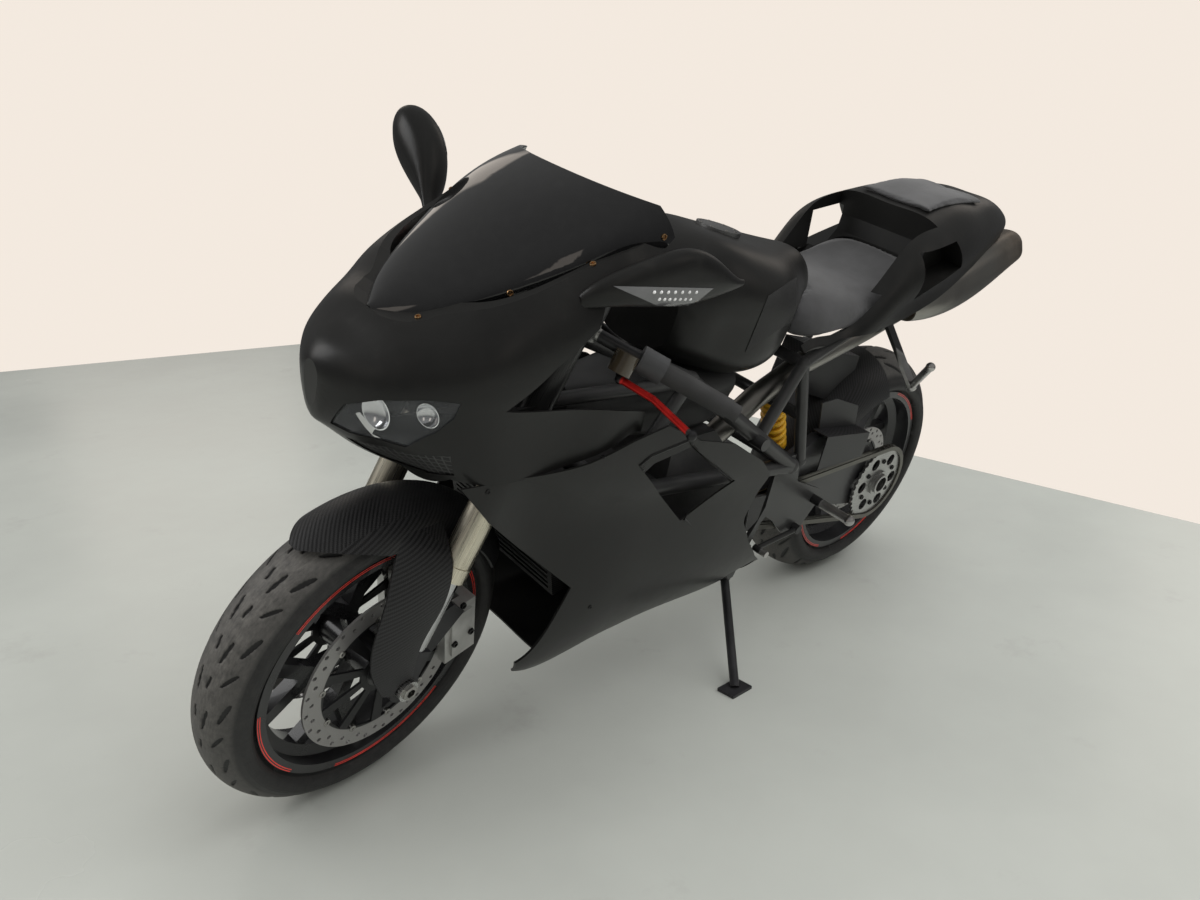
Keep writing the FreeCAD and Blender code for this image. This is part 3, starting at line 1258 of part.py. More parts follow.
def rails(grow):
    """The seat rails again as rooms for the panels that pass over them."""
    room = None
    for side in (1, -1):
        for name, other in (("seat_front", "seat_rear"), ("stay_low", "seat_front"), ("brace_low",
                                                                                      "seat_front")):
            a, b = frame_node(name, side), frame_node(other, side)
            along = b - a
            along.normalize()
            a, b = a - along * float(cut_over), b + along * float(cut_over)
            bar = Part.makeCylinder(float(brace_tube_radius) + grow, (b - a).Length, a, b - a)
            room = bar if room is None else room.fuse(bar)
        for name in ("seat_front", "stay_low"):
            room = room.fuse(Part.makeSphere(float(brace_tube_radius) * 1.12 + grow, frame_node(name, side)))
        for name, other in (("head_high", "beam_mid"), ("beam_mid", "pivot")):
            a, b = frame_node(name, side), frame_node(other, side)
            room = room.fuse(Part.makeCylinder(float(frame_tube_radius) + grow, (b - a).Length, a, b - a))
        room = room.fuse(Part.makeSphere(float(frame_tube_radius) * 1.12 + grow, frame_node("beam_mid",
                                                                                            side)))
    for name in ("seat_front", "seat_rear"):
        a, b = frame_node(name, 1), frame_node(name, -1)
        room = room.fuse(Part.makeCylinder(float(brace_tube_radius) + grow, (b - a).Length, a, b - a))
    return room


# Silencers under the tail, and the pipes that run up to them from the engine
PIPE_SHARES = ((0.50, 0.53, 0.560), (0.40, 0.53, 0.648), (0.30, 0.53, 0.705), (0.15, 0.53, 0.752))
SILENCER_SHARES = ((0, 0.7), (0.12, 1.0), (0.85, 1.0), (1.0, 0.88))


def silencer(side, grow=0):
    start = point(silencer_front, side * float(silencer_offset), silencer_low)
    finish = point(silencer_rear, side * float(silencer_offset) * 0.9, silencer_high)
    along = finish - start
    wires = []
    for share, reach in SILENCER_SHARES:
        wires.append(oval(share * along.Length, reach * float(silencer_half_width) + grow,
                          -reach * float(silencer_half_height) - grow, 0,
                          reach * float(silencer_half_height) + grow, 2.4))
    form = Part.makeLoft(wires, True, False)
    form.Placement = Placement(start, Rotation(X_AXIS, along))
    if grow:
        return form
    mouth = Part.makeCylinder(float(silencer_half_height) * 0.55, float(silencer_half_height), finish, -along)
    return form.cut(mouth), start


exhaust = []
for side in (1, -1):
    can, inlet = silencer(side)
    runs = [spot(shares, side) for shares in PIPE_SHARES] + [inlet]
    for a, b in zip(runs, runs[1:]):
        can = can.fuse(Part.makeCylinder(float(pipe_radius), (b - a).Length, a, b - a))
        can = can.fuse(Part.makeSphere(float(pipe_radius), b))
    exhaust.append(can.cut(engine_shape))
sub_part("silencers", feature(Part.makeCompound(exhaust), "Silencers"))

# Tail: shell over the rails and silencers, with a side scoop, a rear lamp and the seat's bay
tail = ovals(TAIL_SHARES, tail_front, tail_length, tail_half_width, tail_floor, tail_height)
perch = ovals(TAIL_SHARES, tail_front, tail_length, tail_half_width, tail_floor, tail_height,
              -float(perch_rise))
perch = perch.common(tail_prism(PERCH_SHARES, tail_half_width * 0.52)).cut(tail)
bay_low = tail_prism(BAY_SHARES, saddle_half_width + seat_gap)
bay_top = float(saddle_floor + saddle_height * 0.64)
bay_low = bay_low.common(Part.makeBox(float(tail_length) * 2, float(tail_half_width) * 4, bay_top,
                                      point(tail_front - tail_length * 1.5, -tail_half_width * 2, 0)))
tail = tail.cut(bay_low).cut(tail_prism(BAY_SHARES, tail_half_width * 0.74))
tail = tail.cut(tail_prism(BELLY_SHARES, tail_half_width * 1.2))
tail = tail.cut(tail_prism(UNDER_SHARES, tail_half_width * 0.80))
tail = tail.cut(tail_prism(SCOOP_SHARES, tail_half_width * 1.2).cut(tail_prism(
    ((-1, -1), (2, -1), (2, 2), (-1, 2)), tail_half_width * 0.66)))
rail_room = rails(float(seat_gap))
tail = tail.cut(rail_room).cut(saddle).cut(tank)
for side in (1, -1):
    tail = tail.cut(silencer(side, float(shell_wall)))
light_prism = tail_prism(LIGHT_SHARES, tail_half_width * 0.3)
tail_light = tail.common(light_prism)
tail = tail.cut(light_prism)
saddle = saddle.cut(rail_room)
tank = tank.cut(rail_room)
sub_part("fuel_tank", feature(tank, "Tank"))
sub_part("fuel_cap", feature(cap, "Cap"))
sub_part("seat", feature(Part.makeCompound([saddle, perch]), "Saddle"))
sub_part("tail_fairing", feature(largest(tail), "Tail"))
sub_part("tail_light", feature(tail_light, "Lamp"))

# Single-sided swingarm outside the tyre, its hub housing, pivot tube and bridge
arm_body = new_body("Arm")
hub_z = rear_tyre_radius
ARM_SHARES = {"crown_front": (0.227, 1.64), "crown_rear": (0.087, 1.52), "bridge": (0.30, 1.50),
              "belly": (0.17, 0.97)}


def arm_point(name):
    along, up = ARM_SHARES[name]
    return (wheelbase * along, rear_tyre_radius * up)


arm_outline = [
    (pivot_x + pivot_radius, pivot_z), (pivot_x, pivot_z - pivot_radius), arm_point("belly"),
    (arm_hub_radius / 2, hub_z - arm_hub_radius), (-arm_hub_radius, hub_z - arm_hub_radius / 2),
    (-arm_hub_radius, hub_z + arm_hub_radius / 2), (arm_hub_radius / 3, hub_z + arm_hub_radius),
    arm_point("crown_rear"), arm_point("crown_front"), arm_point("bridge"), (pivot_x, pivot_z + pivot_radius)]
arm_room = plate([(float(x), float(z)) for x, z in arm_outline], arm_inside, arm_inside + arm_width, 1, True)
arm_profile = sketch(arm_body, "Side", "XZ_Plane", arm_outline)
pad(arm_body, arm_profile, arm_width)
arm_body.Placement = Placement(point(0, arm_inside + arm_width / 2, 0), Rotation())
hub = cylinder(arm_hub_radius, arm_inside + arm_width - arm_hub_inside, point(0, arm_hub_inside, hub_z),
               Y_AXIS, "Hub")
pivot_tube = cylinder(pivot_tube_radius, (plate_inside - seat_gap) * 2, point(pivot_x,
                                                                              seat_gap - plate_inside, pivot_z),
                      Y_AXIS, "PivotTube")
bridge = block(pivot_x - bridge_rear, (arm_inside + arm_width) * 2 - arm_width, pivot_radius,
               point(bridge_rear, -arm_inside, pivot_z - pivot_radius / 2), "Bridge")
hub_hole = cylinder(rear_axle_radius + running_gap, cut_over * 4, point(0, arm_hub_inside - cut_over,
                                                                        hub_z), Y_AXIS,
                    "HubBore")
arm_joined = fuse([arm_body, hub, pivot_tube, bridge], "ArmJoined")
sub_part("swingarm", cut(arm_joined, hub_hole, "ArmBored"))

# Rear caliper, on the arm's inner face and open for the disc
CALIPER_SHARES = ((0.050, 0.305), (0.098, 0.312), (0.092, 0.262), (0.050, 0.262))
rear_caliper = plate(CALIPER_SHARES, rear_disc_offset - disc_thickness * 3, arm_inside - seat_gap)
disc_room = Part.makeCylinder(float(rear_disc_radius) + float(rim_wall), float(disc_thickness) * 3.4,
                              point(0, rear_disc_offset - disc_thickness * 1.7, hub_z), Y_AXIS)
rear_caliper = rear_caliper.cut(disc_room)
sub_part("rear_caliper", feature(rear_caliper, "RearCaliper"))

# Shock absorber: damper, two spring seats and the spring wound round it
SHOCK_SHARES = {"top": (0.302, 0.2375, 0.607), "low": (0.251, 0.2375, 0.440)}
shock_top, shock_low = spot(SHOCK_SHARES["top"]), spot(SHOCK_SHARES["low"])
shock_line = shock_top - shock_low
shock_length = shock_line.Length
shock_turn = Rotation(Z_AXIS, shock_line)
coil_height = shock_length * 0.68
coil_foot = shock_length * 0.16
seat_height = float(spring_wire) * 1.5
helix = Part.makeHelix(float(spring_pitch), coil_height - float(spring_wire) * 2,
                       float(spring_radius - spring_wire))
helix.translate(Vector(0, 0, coil_foot + seat_height + float(spring_wire)))
wire_start = helix.Vertexes[0].Point
ring = Part.Wire([Part.Circle(wire_start, Y_AXIS, float(spring_wire)).toShape()])
coil = Part.Wire(helix.Edges).makePipeShell([ring], True, True)
damper = Part.makeCylinder(float(damper_radius), shock_length, ORIGIN, Z_AXIS)
for low in (coil_foot, coil_foot + coil_height + seat_height):
    damper = damper.fuse(Part.makeCylinder(float(spring_radius), seat_height, point(0, 0, low), Z_AXIS))
for shape in (coil, damper):
    shape.Placement = Placement(shock_low, shock_turn)
for eye in (shock_top, shock_low):
    damper = damper.fuse(Part.makeCylinder(float(eye_radius), float(damper_radius) * 2,
                                           eye - point(0, damper_radius, 0), Y_AXIS))
pin_end = point(shock_low.x, arm_inside - seat_gap, shock_low.z)
pin_start = point(shock_low.x, 0, shock_low.z)
damper = damper.fuse(Part.makeCylinder(float(lever_radius), (pin_end - pin_start).Length, pin_start, Y_AXIS))
sub_part("rear_shock", feature(Part.makeCompound([damper, coil]), "Shock"))


# Chain: two runs of side plates round the sprockets, and the drive sprocket under its cover
def belt(first, first_radius, second, second_radius, y):
    """Closed loop round two circles in side view."""
    line = second - first
    lean = math.atan2(line.z, line.x)
    spread = math.acos((first_radius - second_radius) / line.Length)

    def on(centre, radius, angle):
        return Vector(centre.x + radius * math.cos(angle), y, centre.z + radius * math.sin(angle))
    a, b = on(first, first_radius, lean + spread), on(first, first_radius, lean - spread)
    c, d = on(second, second_radius, lean - spread), on(second, second_radius, lean + spread)
    return Part.Wire([Part.Arc(a, on(first, first_radius, lean + math.pi), b).toShape(),
                      Part.LineSegment(b, c).toShape(),
                      Part.Arc(c, on(second, second_radius, lean), d).toShape(), Part.LineSegment(d,
                                                                                                  a).toShape()])


rear_centre = point(0, 0, rear_tyre_radius)
drive_centre = point(drive_x, 0, drive_z)
chain_half = float(chain_height) / 2
strip = (float(chain_width) - float(sprocket_thickness) - float(chain_play) * 2) / 2
strips = []
for low in (sprocket_offset - chain_width / 2, sprocket_offset + chain_width / 2 - strip):
    loops = []
    for reach in (chain_half, -chain_half):
        loops.append(belt(rear_centre, float(sprocket_radius) + reach, drive_centre,
                          float(drive_radius) + reach, float(low)))
    whole, middle = (Part.Face(loop).extrude(Vector(0, strip, 0)) for loop in loops)
    strips.append(whole.cut(middle))
sub_part("drive_chain", feature(Part.makeCompound(strips), "Chain"))

COVER_SHARES = ((0.372, 0.374), (0.400, 0.345), (0.455, 0.335), (0.455, 0.425), (0.420, 0.445), (0.368,
                                                                                                 0.435))
COVER_FOOT_SHARES = ((0.437, 0.345), (0.455, 0.345), (0.455, 0.425), (0.437, 0.425))
cover_face = sprocket_offset + chain_width / 2 + rim_wall
cover = plate(COVER_SHARES, cover_face, cover_face + cover_wall)
cover = cover.fuse(plate(COVER_FOOT_SHARES, engine_width / 2 + seat_gap, cover_face + cover_wall))
drive = Part.makeCylinder(float(drive_radius) - float(running_gap), float(sprocket_thickness),
                          drive_centre + point(0, sprocket_offset - sprocket_thickness / 2, 0), Y_AXIS)
drive = drive.fuse(Part.makeCylinder(float(eye_radius), float(sprocket_offset - sprocket_thickness),
                                     drive_centre + point(0, sprocket_thickness / 2, 0), Y_AXIS))
drive = drive.fuse(Part.makeCylinder(float(eye_radius), float(engine_rear - drive_x + seat_gap),
                                     drive_centre + point(0, eye_radius * 3, 0), X_AXIS)).cut(engine_shape)
sub_part("sprocket_cover", feature(Part.makeCompound([cover, drive]), "Cover"))

# Hugger: a shell over the rear tyre, a fin up behind the shock and a guard over the chain
FIN_SHARES = ((0.090, 0.655), (0.220, 0.700), (0.235, 0.600), (0.160, 0.560), (0.090, 0.600))
LEG_SHARES = ((0.195, 0.60), (0.235, 0.60), (0.215, 0.500), (0.105, 0.470), (0.120, 0.56))
CHAIN_GUARD_SHARES = ((0.105, 0.500), (0.235, 0.530), (0.235, 0.445), (0.105, 0.437))
CHAIN_FLANGE_SHARES = ((0.105, 0.500), (0.235, 0.530), (0.235, 0.533), (0.105, 0.503))
hugger = arched_shell(rear_tyre_radius, rear_tyre_width, rear_crown_radius, hugger_gap, hugger_wall,
                      hugger_front_angle, hugger_rear_angle)
hugger.Placement = rear_wheel_place
tyre_room = Part.makeCylinder(float(rear_tyre_radius + hugger_gap), float(cut_over) * 10,
                              point(0, -cut_over * 5, rear_tyre_radius), Y_AXIS)
hugger_side = rear_tyre_width / 2 + hugger_gap
fin = plate(FIN_SHARES, -hugger_side * 0.45, hugger_side * 0.45).cut(tyre_room)
hugger = hugger.fuse(fin)
hugger = hugger.fuse(plate(LEG_SHARES, hugger_side, hugger_side + hugger_wall))
hugger = hugger.fuse(plate(CHAIN_FLANGE_SHARES, hugger_side, sprocket_offset + chain_width))
hugger = hugger.fuse(plate(CHAIN_GUARD_SHARES, sprocket_offset + chain_width - hugger_wall,
                           sprocket_offset + chain_width))
sub_part("rear_hugger", feature(hugger.cut(arm_room), "Hugger"))

# Rider footrests with the gear lever and brake pedal, and the passenger footrests on their hangers
REST_SHARES = {
    "peg": (0.2273, 0.369), "lever_pivot": (0.262, 0.305), "lever_toe": (0.365, 0.300),
    "hanger_top": (0.149, 0.76, 0.802), "hanger_low": (0.0315, 0.99, 0.612), "peg_tip": (0.105, 1.47, 0.715)}
plate_face = float(plate_inside + plate_thickness + seat_gap)
rests = []
for side in (1, -1):
    def at(name, out):
        along, up = REST_SHARES[name]
        return point(wheelbase * along, side * (plate_face + float(out)), body_height * up)
    rests.append(rod(peg_radius, at("peg", 0), at("peg", peg_length), "Peg"))
    rests.append(ball(peg_radius * 1.15, at("peg", peg_length), "PegEnd"))
    rests.append(rod(peg_radius, at("lever_pivot", 0), at("lever_pivot", peg_radius * 1.6), "Pivot"))
    rests.append(rod(lever_radius, at("lever_pivot", peg_radius), at("lever_toe", peg_radius), "Lever"))
    rests.append(rod(lever_radius * 1.3, at("lever_toe", peg_radius / 2), at("lever_toe",
                                                                             peg_length * 0.4), "Toe"))
sub_part("rider_footrests", fuse(rests, "Rests"))

hangers = []
for side in (1, -1):
    top, low, tip = (spot(REST_SHARES[name], side) for name in ("hanger_top", "hanger_low", "peg_tip"))
    hangers.append(slab(top, low, passenger_peg_radius, passenger_peg_radius * 2.6, "Hanger"))
    hangers.append(ball(passenger_peg_radius * 1.5, low, "Knuckle"))
    hangers.append(rod(passenger_peg_radius, low, tip, "Peg"))
    hangers.append(ball(passenger_peg_radius * 1.2, tip, "PegEnd"))
hanger_form = cut(fuse(hangers, "Hangers"), feature(rail_room, "RailRoom"), "HangersSeated")
sub_part("passenger_footrests", hanger_form)

# Radiator with its fins, tilted with the wheel's path
radiator_body = new_body("Radiator")
rad_profile = sketch(radiator_body, "Side", "XZ_Plane", [
    (Size(0, "0"), Size(0, "0")), (radiator_thickness, Size(0, "0")), (radiator_thickness, radiator_height),
    (Size(0, "0"), radiator_height)])
pad(radiator_body, rad_profile, radiator_width)
radiator_body.Placement = Placement(point(radiator_x, 0, radiator_z), Rotation(Y_AXIS, float(radiator_tilt)))
grooves = []
for step in range(int(float(radiator_height) / float(fin_pitch)) - 1):
    corner = radiator_body.Placement.multVec(point(radiator_thickness - fin_depth, -radiator_width * 0.46,
                                                   fin_pitch * (step + 0.75)))
    groove = block(fin_depth * 2, radiator_width * 0.92, fin_pitch / 2, corner, "Groove")
    groove.Placement = Placement(corner, Rotation(Y_AXIS, float(radiator_tilt)))
    grooves.append(groove)
sub_part("radiator", cut(radiator_body, fuse(grooves, "Grooves"), "Finned"))

# Instruments on the bracket that carries the nose from the steering head
BRACKET_SHARES = {"root": (0.8269, 0, 0.846), "middle": (0.8825, 0, 0.895), "wing": (0.979, 1.6, 0.870)}
bracket = None
for a, b in (("root", "middle"), ("middle", "wing")):
    for side in (1, -1):
        first, second = spot(BRACKET_SHARES[a], side), spot(BRACKET_SHARES[b], side)
        bar = Part.makeCylinder(float(lever_radius), (second - first).Length, first, second - first)
        bracket = bar if bracket is None else bracket.fuse(bar)
head_room = Part.makeCylinder(float(head_tube_radius + seat_gap), float(cut_over) * 12,
                              steer_frame.multVec(point(0, 0, lower_clamp_height)), steer_up)
middle = spot(BRACKET_SHARES["middle"])
dash = Part.makeBox(float(dash_depth), float(dash_width), float(dash_height), point(-dash_depth / 2,
                                                                                    -dash_width / 2, 0))
dash.Placement = Placement(middle, Rotation(Y_AXIS, -float(rake_angle)))
bracket = bracket.cut(head_room).common(nose_inner).fuse(dash)
sub_part("instrument_panel", feature(bracket, "Instruments"))

# Mirrors: the left one folded back along the fairing, the right one standing out
MIRROR_LEFT_SHARES = (
    (0.861, 1.24, 0.988, 0.04, 0.010), (0.840, 1.36, 1.008, 0.09, 0.022), (0.795, 1.46, 1.021, 0.13, 0.036),
    (0.739, 1.50, 1.024, 0.13, 0.044), (0.690, 1.53, 1.014, 0.09, 0.026), (0.648, 1.54, 1.004, 0.02, 0.005))
MIRROR_RIGHT_SHARES = (
    (0.853, -1.23, 0.985, 0.07, 0.012), (0.842, -1.40, 1.006, 0.11, 0.018), (0.830, -1.56, 1.030, 0.19,
                                                                             0.040),
    (0.822, -1.86, 1.062, 0.25, 0.055), (0.822, -2.14, 1.084, 0.21, 0.046), (0.824, -2.29, 1.095, 0.08,
                                                                             0.016))


def mirror_pod(rows, turn):
    wires = []
    for along, across, up, wide, high in rows:
        wire = oval(0, wide * float(frame_half_width), -high * float(body_height), 0,
                    high * float(body_height), 2.2)
        wire.Placement = Placement(spot((along, across, up)), Rotation(Z_AXIS, turn))
        wires.append(wire)
    return Part.makeLoft(wires, True, False)


mirrors = [mirror_pod(MIRROR_LEFT_SHARES, 0), mirror_pod(MIRROR_RIGHT_SHARES, -90)]
mirrors = [mirror.cut(nose_shell) for mirror in mirrors]
mirrors = [largest(mirror) for mirror in mirrors]
sub_part("mirrors", feature(Part.makeCompound(mirrors), "Mirrors"))

# Side stand, built where it stands on the floor: its eye turns on a pin held by the frame's arm
stand_top = parked.multVec(point(stand_pivot_x, stand_pivot_y, stand_pivot_z))
sole = point(stand_foot_x, stand_foot_reach, stand_foot_thickness)
stand_foot = block(stand_foot_length, stand_foot_width, stand_foot_thickness,
                   sole - point(stand_foot_length / 2, stand_foot_width / 2, stand_foot_thickness), "Foot")
stand_leg = rod(stand_radius, stand_top, sole, "Leg")
stand_eye = ball(stand_radius * 1.6, stand_top, "Eye")
eye_bore = cylinder(stand_pin_radius + running_gap / 5, cut_over * 2,
                    stand_top - stand_axis * float(cut_over), stand_axis,
                    "EyeBore")
sub_part("side_stand", cut(fuse([stand_leg, stand_eye, stand_foot], "Stand"), eye_bore), Placement())

# Finish: check, put each sub-part in its place, and write it
doc.recompute()
for label, (item, carrier, local) in nodes.items():
    item.Placement = carrier * local if item.TypeId != "Part::Feature" else carrier * local * item.Placement
doc.recompute()
for item in doc.Objects:
    if "Invalid" in item.State or "Error" in item.State:
        raise RuntimeError("%s (%s) failed: %s" % (item.Name, item.Label, item.State))
box = FreeCAD.BoundBox()
for label, (item, carrier, local) in nodes.items():
    shape = item.Shape
    if shape.isNull() or not shape.isValid():
        raise RuntimeError("bad shape: " + label)
    box.add(shape.optimalBoundingBox(False, False))
row_shift = Placement(Vector(-box.Center.x, -box.Center.y, 0), Rotation())
print("parked", list((row_shift * parked).Matrix.A))
print("steered", list((row_shift * front_carrier * front_local).Matrix.A))
print("stand", list(row_shift.multVec(stand_top)) + list(stand_axis))
for label, (item, carrier, local) in nodes.items():
    item.Placement = row_shift * item.Placement
doc.recompute()
for label, (item, carrier, local) in nodes.items():
    item.Shape.exportStep("parts/%s.step" % label)
    print(label, len(item.Shape.Solids), round(item.Shape.Volume / 1e3), "cm3")
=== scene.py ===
import bpy, bmesh, json, math
import numpy as np
from mathutils import Matrix, Vector
from mathutils.bvhtree import BVHTree


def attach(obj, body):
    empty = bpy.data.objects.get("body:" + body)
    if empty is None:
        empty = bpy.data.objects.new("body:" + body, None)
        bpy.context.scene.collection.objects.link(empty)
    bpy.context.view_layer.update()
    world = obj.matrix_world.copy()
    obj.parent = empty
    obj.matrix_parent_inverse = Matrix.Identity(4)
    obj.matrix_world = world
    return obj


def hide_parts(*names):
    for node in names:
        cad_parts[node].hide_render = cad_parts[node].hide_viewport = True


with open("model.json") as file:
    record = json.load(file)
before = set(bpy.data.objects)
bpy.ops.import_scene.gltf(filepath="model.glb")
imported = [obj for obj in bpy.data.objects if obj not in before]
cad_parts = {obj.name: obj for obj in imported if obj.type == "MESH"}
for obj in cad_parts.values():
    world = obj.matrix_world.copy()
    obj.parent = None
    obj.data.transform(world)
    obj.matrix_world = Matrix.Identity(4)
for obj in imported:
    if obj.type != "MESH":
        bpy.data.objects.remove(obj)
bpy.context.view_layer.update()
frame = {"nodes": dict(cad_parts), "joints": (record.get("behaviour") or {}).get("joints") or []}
nodes = frame["nodes"]
joints = {joint["name"]: joint for joint in frame["joints"]}
print("frame loaded,", len(nodes), "nodes")

# Places. The joints say where the machine stands, and lengths are in millimetres of the upright machine
machine = {"rearRadius": 315, "forkOffset": 36, "forkAside": 104, "headAt": (1189.75, 739.98)}


def basis(xAxis, yAxis, zAxis, origin):
    turn = Matrix((xAxis, yAxis, zAxis)).transposed().to_4x4()
    return Matrix.Translation(origin) @ turn @ Matrix.Scale(.001, 4)


def jointLine(name):
    return Vector(joints[name]["pos_m"]), Vector(joints[name]["axis"]).normalized()


rearAt, bikeSide = jointLine("rear_wheel_spin")
frontAt, forkSide = jointLine("front_wheel_spin")
headAt, forkUp = jointLine("steering_turn")
rise = math.atan2(machine["headAt"][1] - machine["rearRadius"], machine["headAt"][0])
bikeAhead = (Matrix.Rotation(rise, 3, bikeSide) @ (headAt - rearAt)).normalized()
bikeUp = bikeAhead.cross(bikeSide).normalized()
forkAhead = forkSide.cross(forkUp).normalized()
bikePlace = basis(bikeAhead, bikeSide, bikeUp, rearAt - bikeUp * machine["rearRadius"] / 1000)
rearWheel = basis(bikeAhead, bikeSide, bikeUp, rearAt)
forkPlace = basis(forkAhead, forkSide, forkUp, frontAt - forkAhead * machine["forkOffset"] / 1000)
frontWheel = basis(forkAhead, forkSide, forkUp, frontAt)

# Camera, as in the photograph
camera = {"eye": (2168.3, 1157.2, 1484.6), "ahead": (-.64741, -.59585, -.47521),
          "up": (-.21132, -.45873, .86308), "lens": 29.83, "pixels": 994.4, "middle": (600, 450), "away": 2.2}
eye = bikePlace @ Vector(camera["eye"])
sight = (bikePlace.to_3x3() @ Vector(camera["ahead"])).normalized()
cameraUp = (bikePlace.to_3x3() @ Vector(camera["up"])).normalized()
cameraRight = sight.cross(cameraUp).normalized()
cameraData = bpy.data.cameras.new("photoCamera")
cameraData.lens = camera["lens"]
cameraObject = bpy.data.objects.new("photoCamera", cameraData)
bpy.context.scene.collection.objects.link(cameraObject)
cameraTurn = Matrix((cameraRight, cameraUp, -sight)).transposed().to_4x4()
cameraObject.matrix_world = Matrix.Translation(eye) @ cameraTurn
bpy.context.scene.camera = cameraObject

graph = bpy.context.evaluated_depsgraph_get()
trees = {name: BVHTree.FromObject(item, graph) for name, item in nodes.items()}


def pixelRay(pixel):
    right = (pixel[0] - camera["middle"][0]) / camera["pixels"]
    down = (pixel[1] - camera["middle"][1]) / camera["pixels"]
    return (sight + cameraRight * right - cameraUp * down).normalized()


# Where a pixel of the 1200 x 900 photograph lands on a node, with the surface's direction
def seen(pixel, name):
    ray = pixelRay(pixel)
    hit, normal = trees[name].ray_cast(eye, ray)[:2]
    if hit is None:
        hit, normal = trees[name].find_nearest(eye + ray * camera["away"])[:2]
    if normal.dot(ray) > 0:
        normal = -normal
    return hit, normal


def nearest(pixel, names):  # which of several nodes the pixel shows
    return min(names, key=lambda name: (seen(pixel, name)[0] - eye).length)


def across(point, normal, name):  # the same spot on the other side of the machine
    def flip(vector):
        return vector - bikeSide * 2 * vector.dot(bikeSide)
    mate = flip(point - rearAt) + rearAt
    hit = trees[name].find_nearest(mate)[0]
    return hit, flip(normal)


# Finishes
class Lane:  # a socket that can be reckoned with
    def __init__(self, finish, socket):
        self.finish, self.socket = finish, socket

    def do(self, operation, *others):
        values = dict(enumerate((self,) + others))
        return self.finish.node("ShaderNodeMath", {"operation": operation}, values)

    def __add__(self, other): return self.do("ADD", other)
    def __radd__(self, other): return self.do("ADD", other)
    def __sub__(self, other): return self.do("SUBTRACT", other)
    def __rsub__(self, other): return (self * -1).do("ADD", other)
    def __mul__(self, other): return self.do("MULTIPLY", other)
    def __rmul__(self, other): return self.do("MULTIPLY", other)
    def __truediv__(self, other): return self.do("DIVIDE", other)
    def __abs__(self): return self.do("ABSOLUTE")
    def __pow__(self, other): return self.do("POWER", other)
    def below(self, other): return self.do("LESS_THAN", other)
    def above(self, other): return self.do("GREATER_THAN", other)
    def least(self, other): return self.do("MINIMUM", other)
    def wave(self): return self.do("SINE")
    def part(self): return self.do("FRACT")


class Finish:
    def __init__(self, name):
        self.material = bpy.data.materials.new(name)
        self.material.use_nodes = True
        self.tree = self.material.node_tree
        self.shader = self.tree.nodes["Principled BSDF"]
        self.output = self.tree.nodes["Material Output"]

    def node(self, kind, settings=None, values=None, out=0):
        made = self.tree.nodes.new(kind)
        for key, value in (settings or {}).items():
            if key == "stops":
                ramp = made.color_ramp
                while len(ramp.elements) < len(value):
                    ramp.elements.new(.5)
                for element, (position, colour) in zip(ramp.elements, value):
                    element.position, element.color = position, (*colour, 1)
            else:
                setattr(made, key, value)
        for key, value in (values or {}).items():
            self.feed(made.inputs[key], value)
        return Lane(self, made.outputs[out])

    def feed(self, socket, value):
        if isinstance(value, Lane):
            self.tree.links.new(value.socket, socket)
        elif hasattr(socket.default_value, "__len__"):
            wanted = len(socket.default_value)
            socket.default_value = (tuple(value) + (1,))[:wanted]
        else:
            socket.default_value = value

    def spot(self):
        return self.node("ShaderNodeTexCoord", out="Object")

    def local(self, place):  # x, y, z in millimetres of a place
        away = self.node("ShaderNodeVectorMath", {"operation": "SUBTRACT"},
                         {0: self.spot(), 1: place.translation})
        turn = place.to_3x3()
        return [self.dot(away, turn.col[column].normalized() * 1000) for column in range(3)]

    def dot(self, first, second):
        return self.node("ShaderNodeVectorMath", {"operation": "DOT_PRODUCT"}, {0: first, 1: second}, 1)

    def noise(self, scale, detail=3, rough=.5, where=None):
        values = {"Scale": scale, "Detail": detail, "Roughness": rough}
        values["Vector"] = self.spot() if where is None else where
        return self.node("ShaderNodeTexNoise", None, values)

    def spread(self, lane, low, high, start=0, end=1):
        return self.node("ShaderNodeMapRange", {"clamp": True},
                         {"Value": lane, "From Min": low, "From Max": high, "To Min": start, "To Max": end})

    def blend(self, share, first, second):
        return self.node("ShaderNodeMix", {"data_type": "RGBA"}, {0: share, 6: first, 7: second}, 2)

    def joined(self, x, y, z=0):
        return self.node("ShaderNodeCombineXYZ", None, {0: x, 1: y, 2: z})

    def bump(self, height, strength=.4, distance=.001):
        values = {"Height": height, "Strength": strength, "Distance": distance}
        self.feed(self.shader.inputs["Normal"], self.node("ShaderNodeBump", None, values))

    def set(self, **values):
        names = {"colour": "Base Color", "rough": "Roughness", "metal": "Metallic", "coat": "Coat Weight",
                 "coatRough": "Coat Roughness", "alpha": "Alpha", "sheen": "Sheen Weight",
                 "specular": "Specular IOR Level"}
        for key, value in values.items():
            self.feed(self.shader.inputs[names[key]], value)
        return self


def satin(name, colour, rough, spread=.08, metal=0, coat=0, grain=900, grainStrength=.08, wear=None, **more):
    # a coloured surface with soft cloudy handling marks and a fine grain
    finish = Finish(name)
    cloud = finish.noise(9, 4, .6)
    fine = finish.noise(grain, 2, .5)
    lighter = tuple(min(1, channel * 1.28 + .006) for channel in colour)
    darker = tuple(channel * .8 for channel in colour)
    tone = finish.blend(finish.spread(cloud, .35, .68), darker, lighter)
    if wear:
        scuff = finish.spread(finish.noise(38, 6, .72), .64, .76)
        tone = finish.blend(scuff * .35, tone, wear)
    finish.set(colour=tone, rough=finish.spread(cloud + fine * .3, .4, .95, rough - spread, rough + spread),
               metal=metal, coat=coat, **more)
    finish.bump(fine, grainStrength, .0006)
    return finish


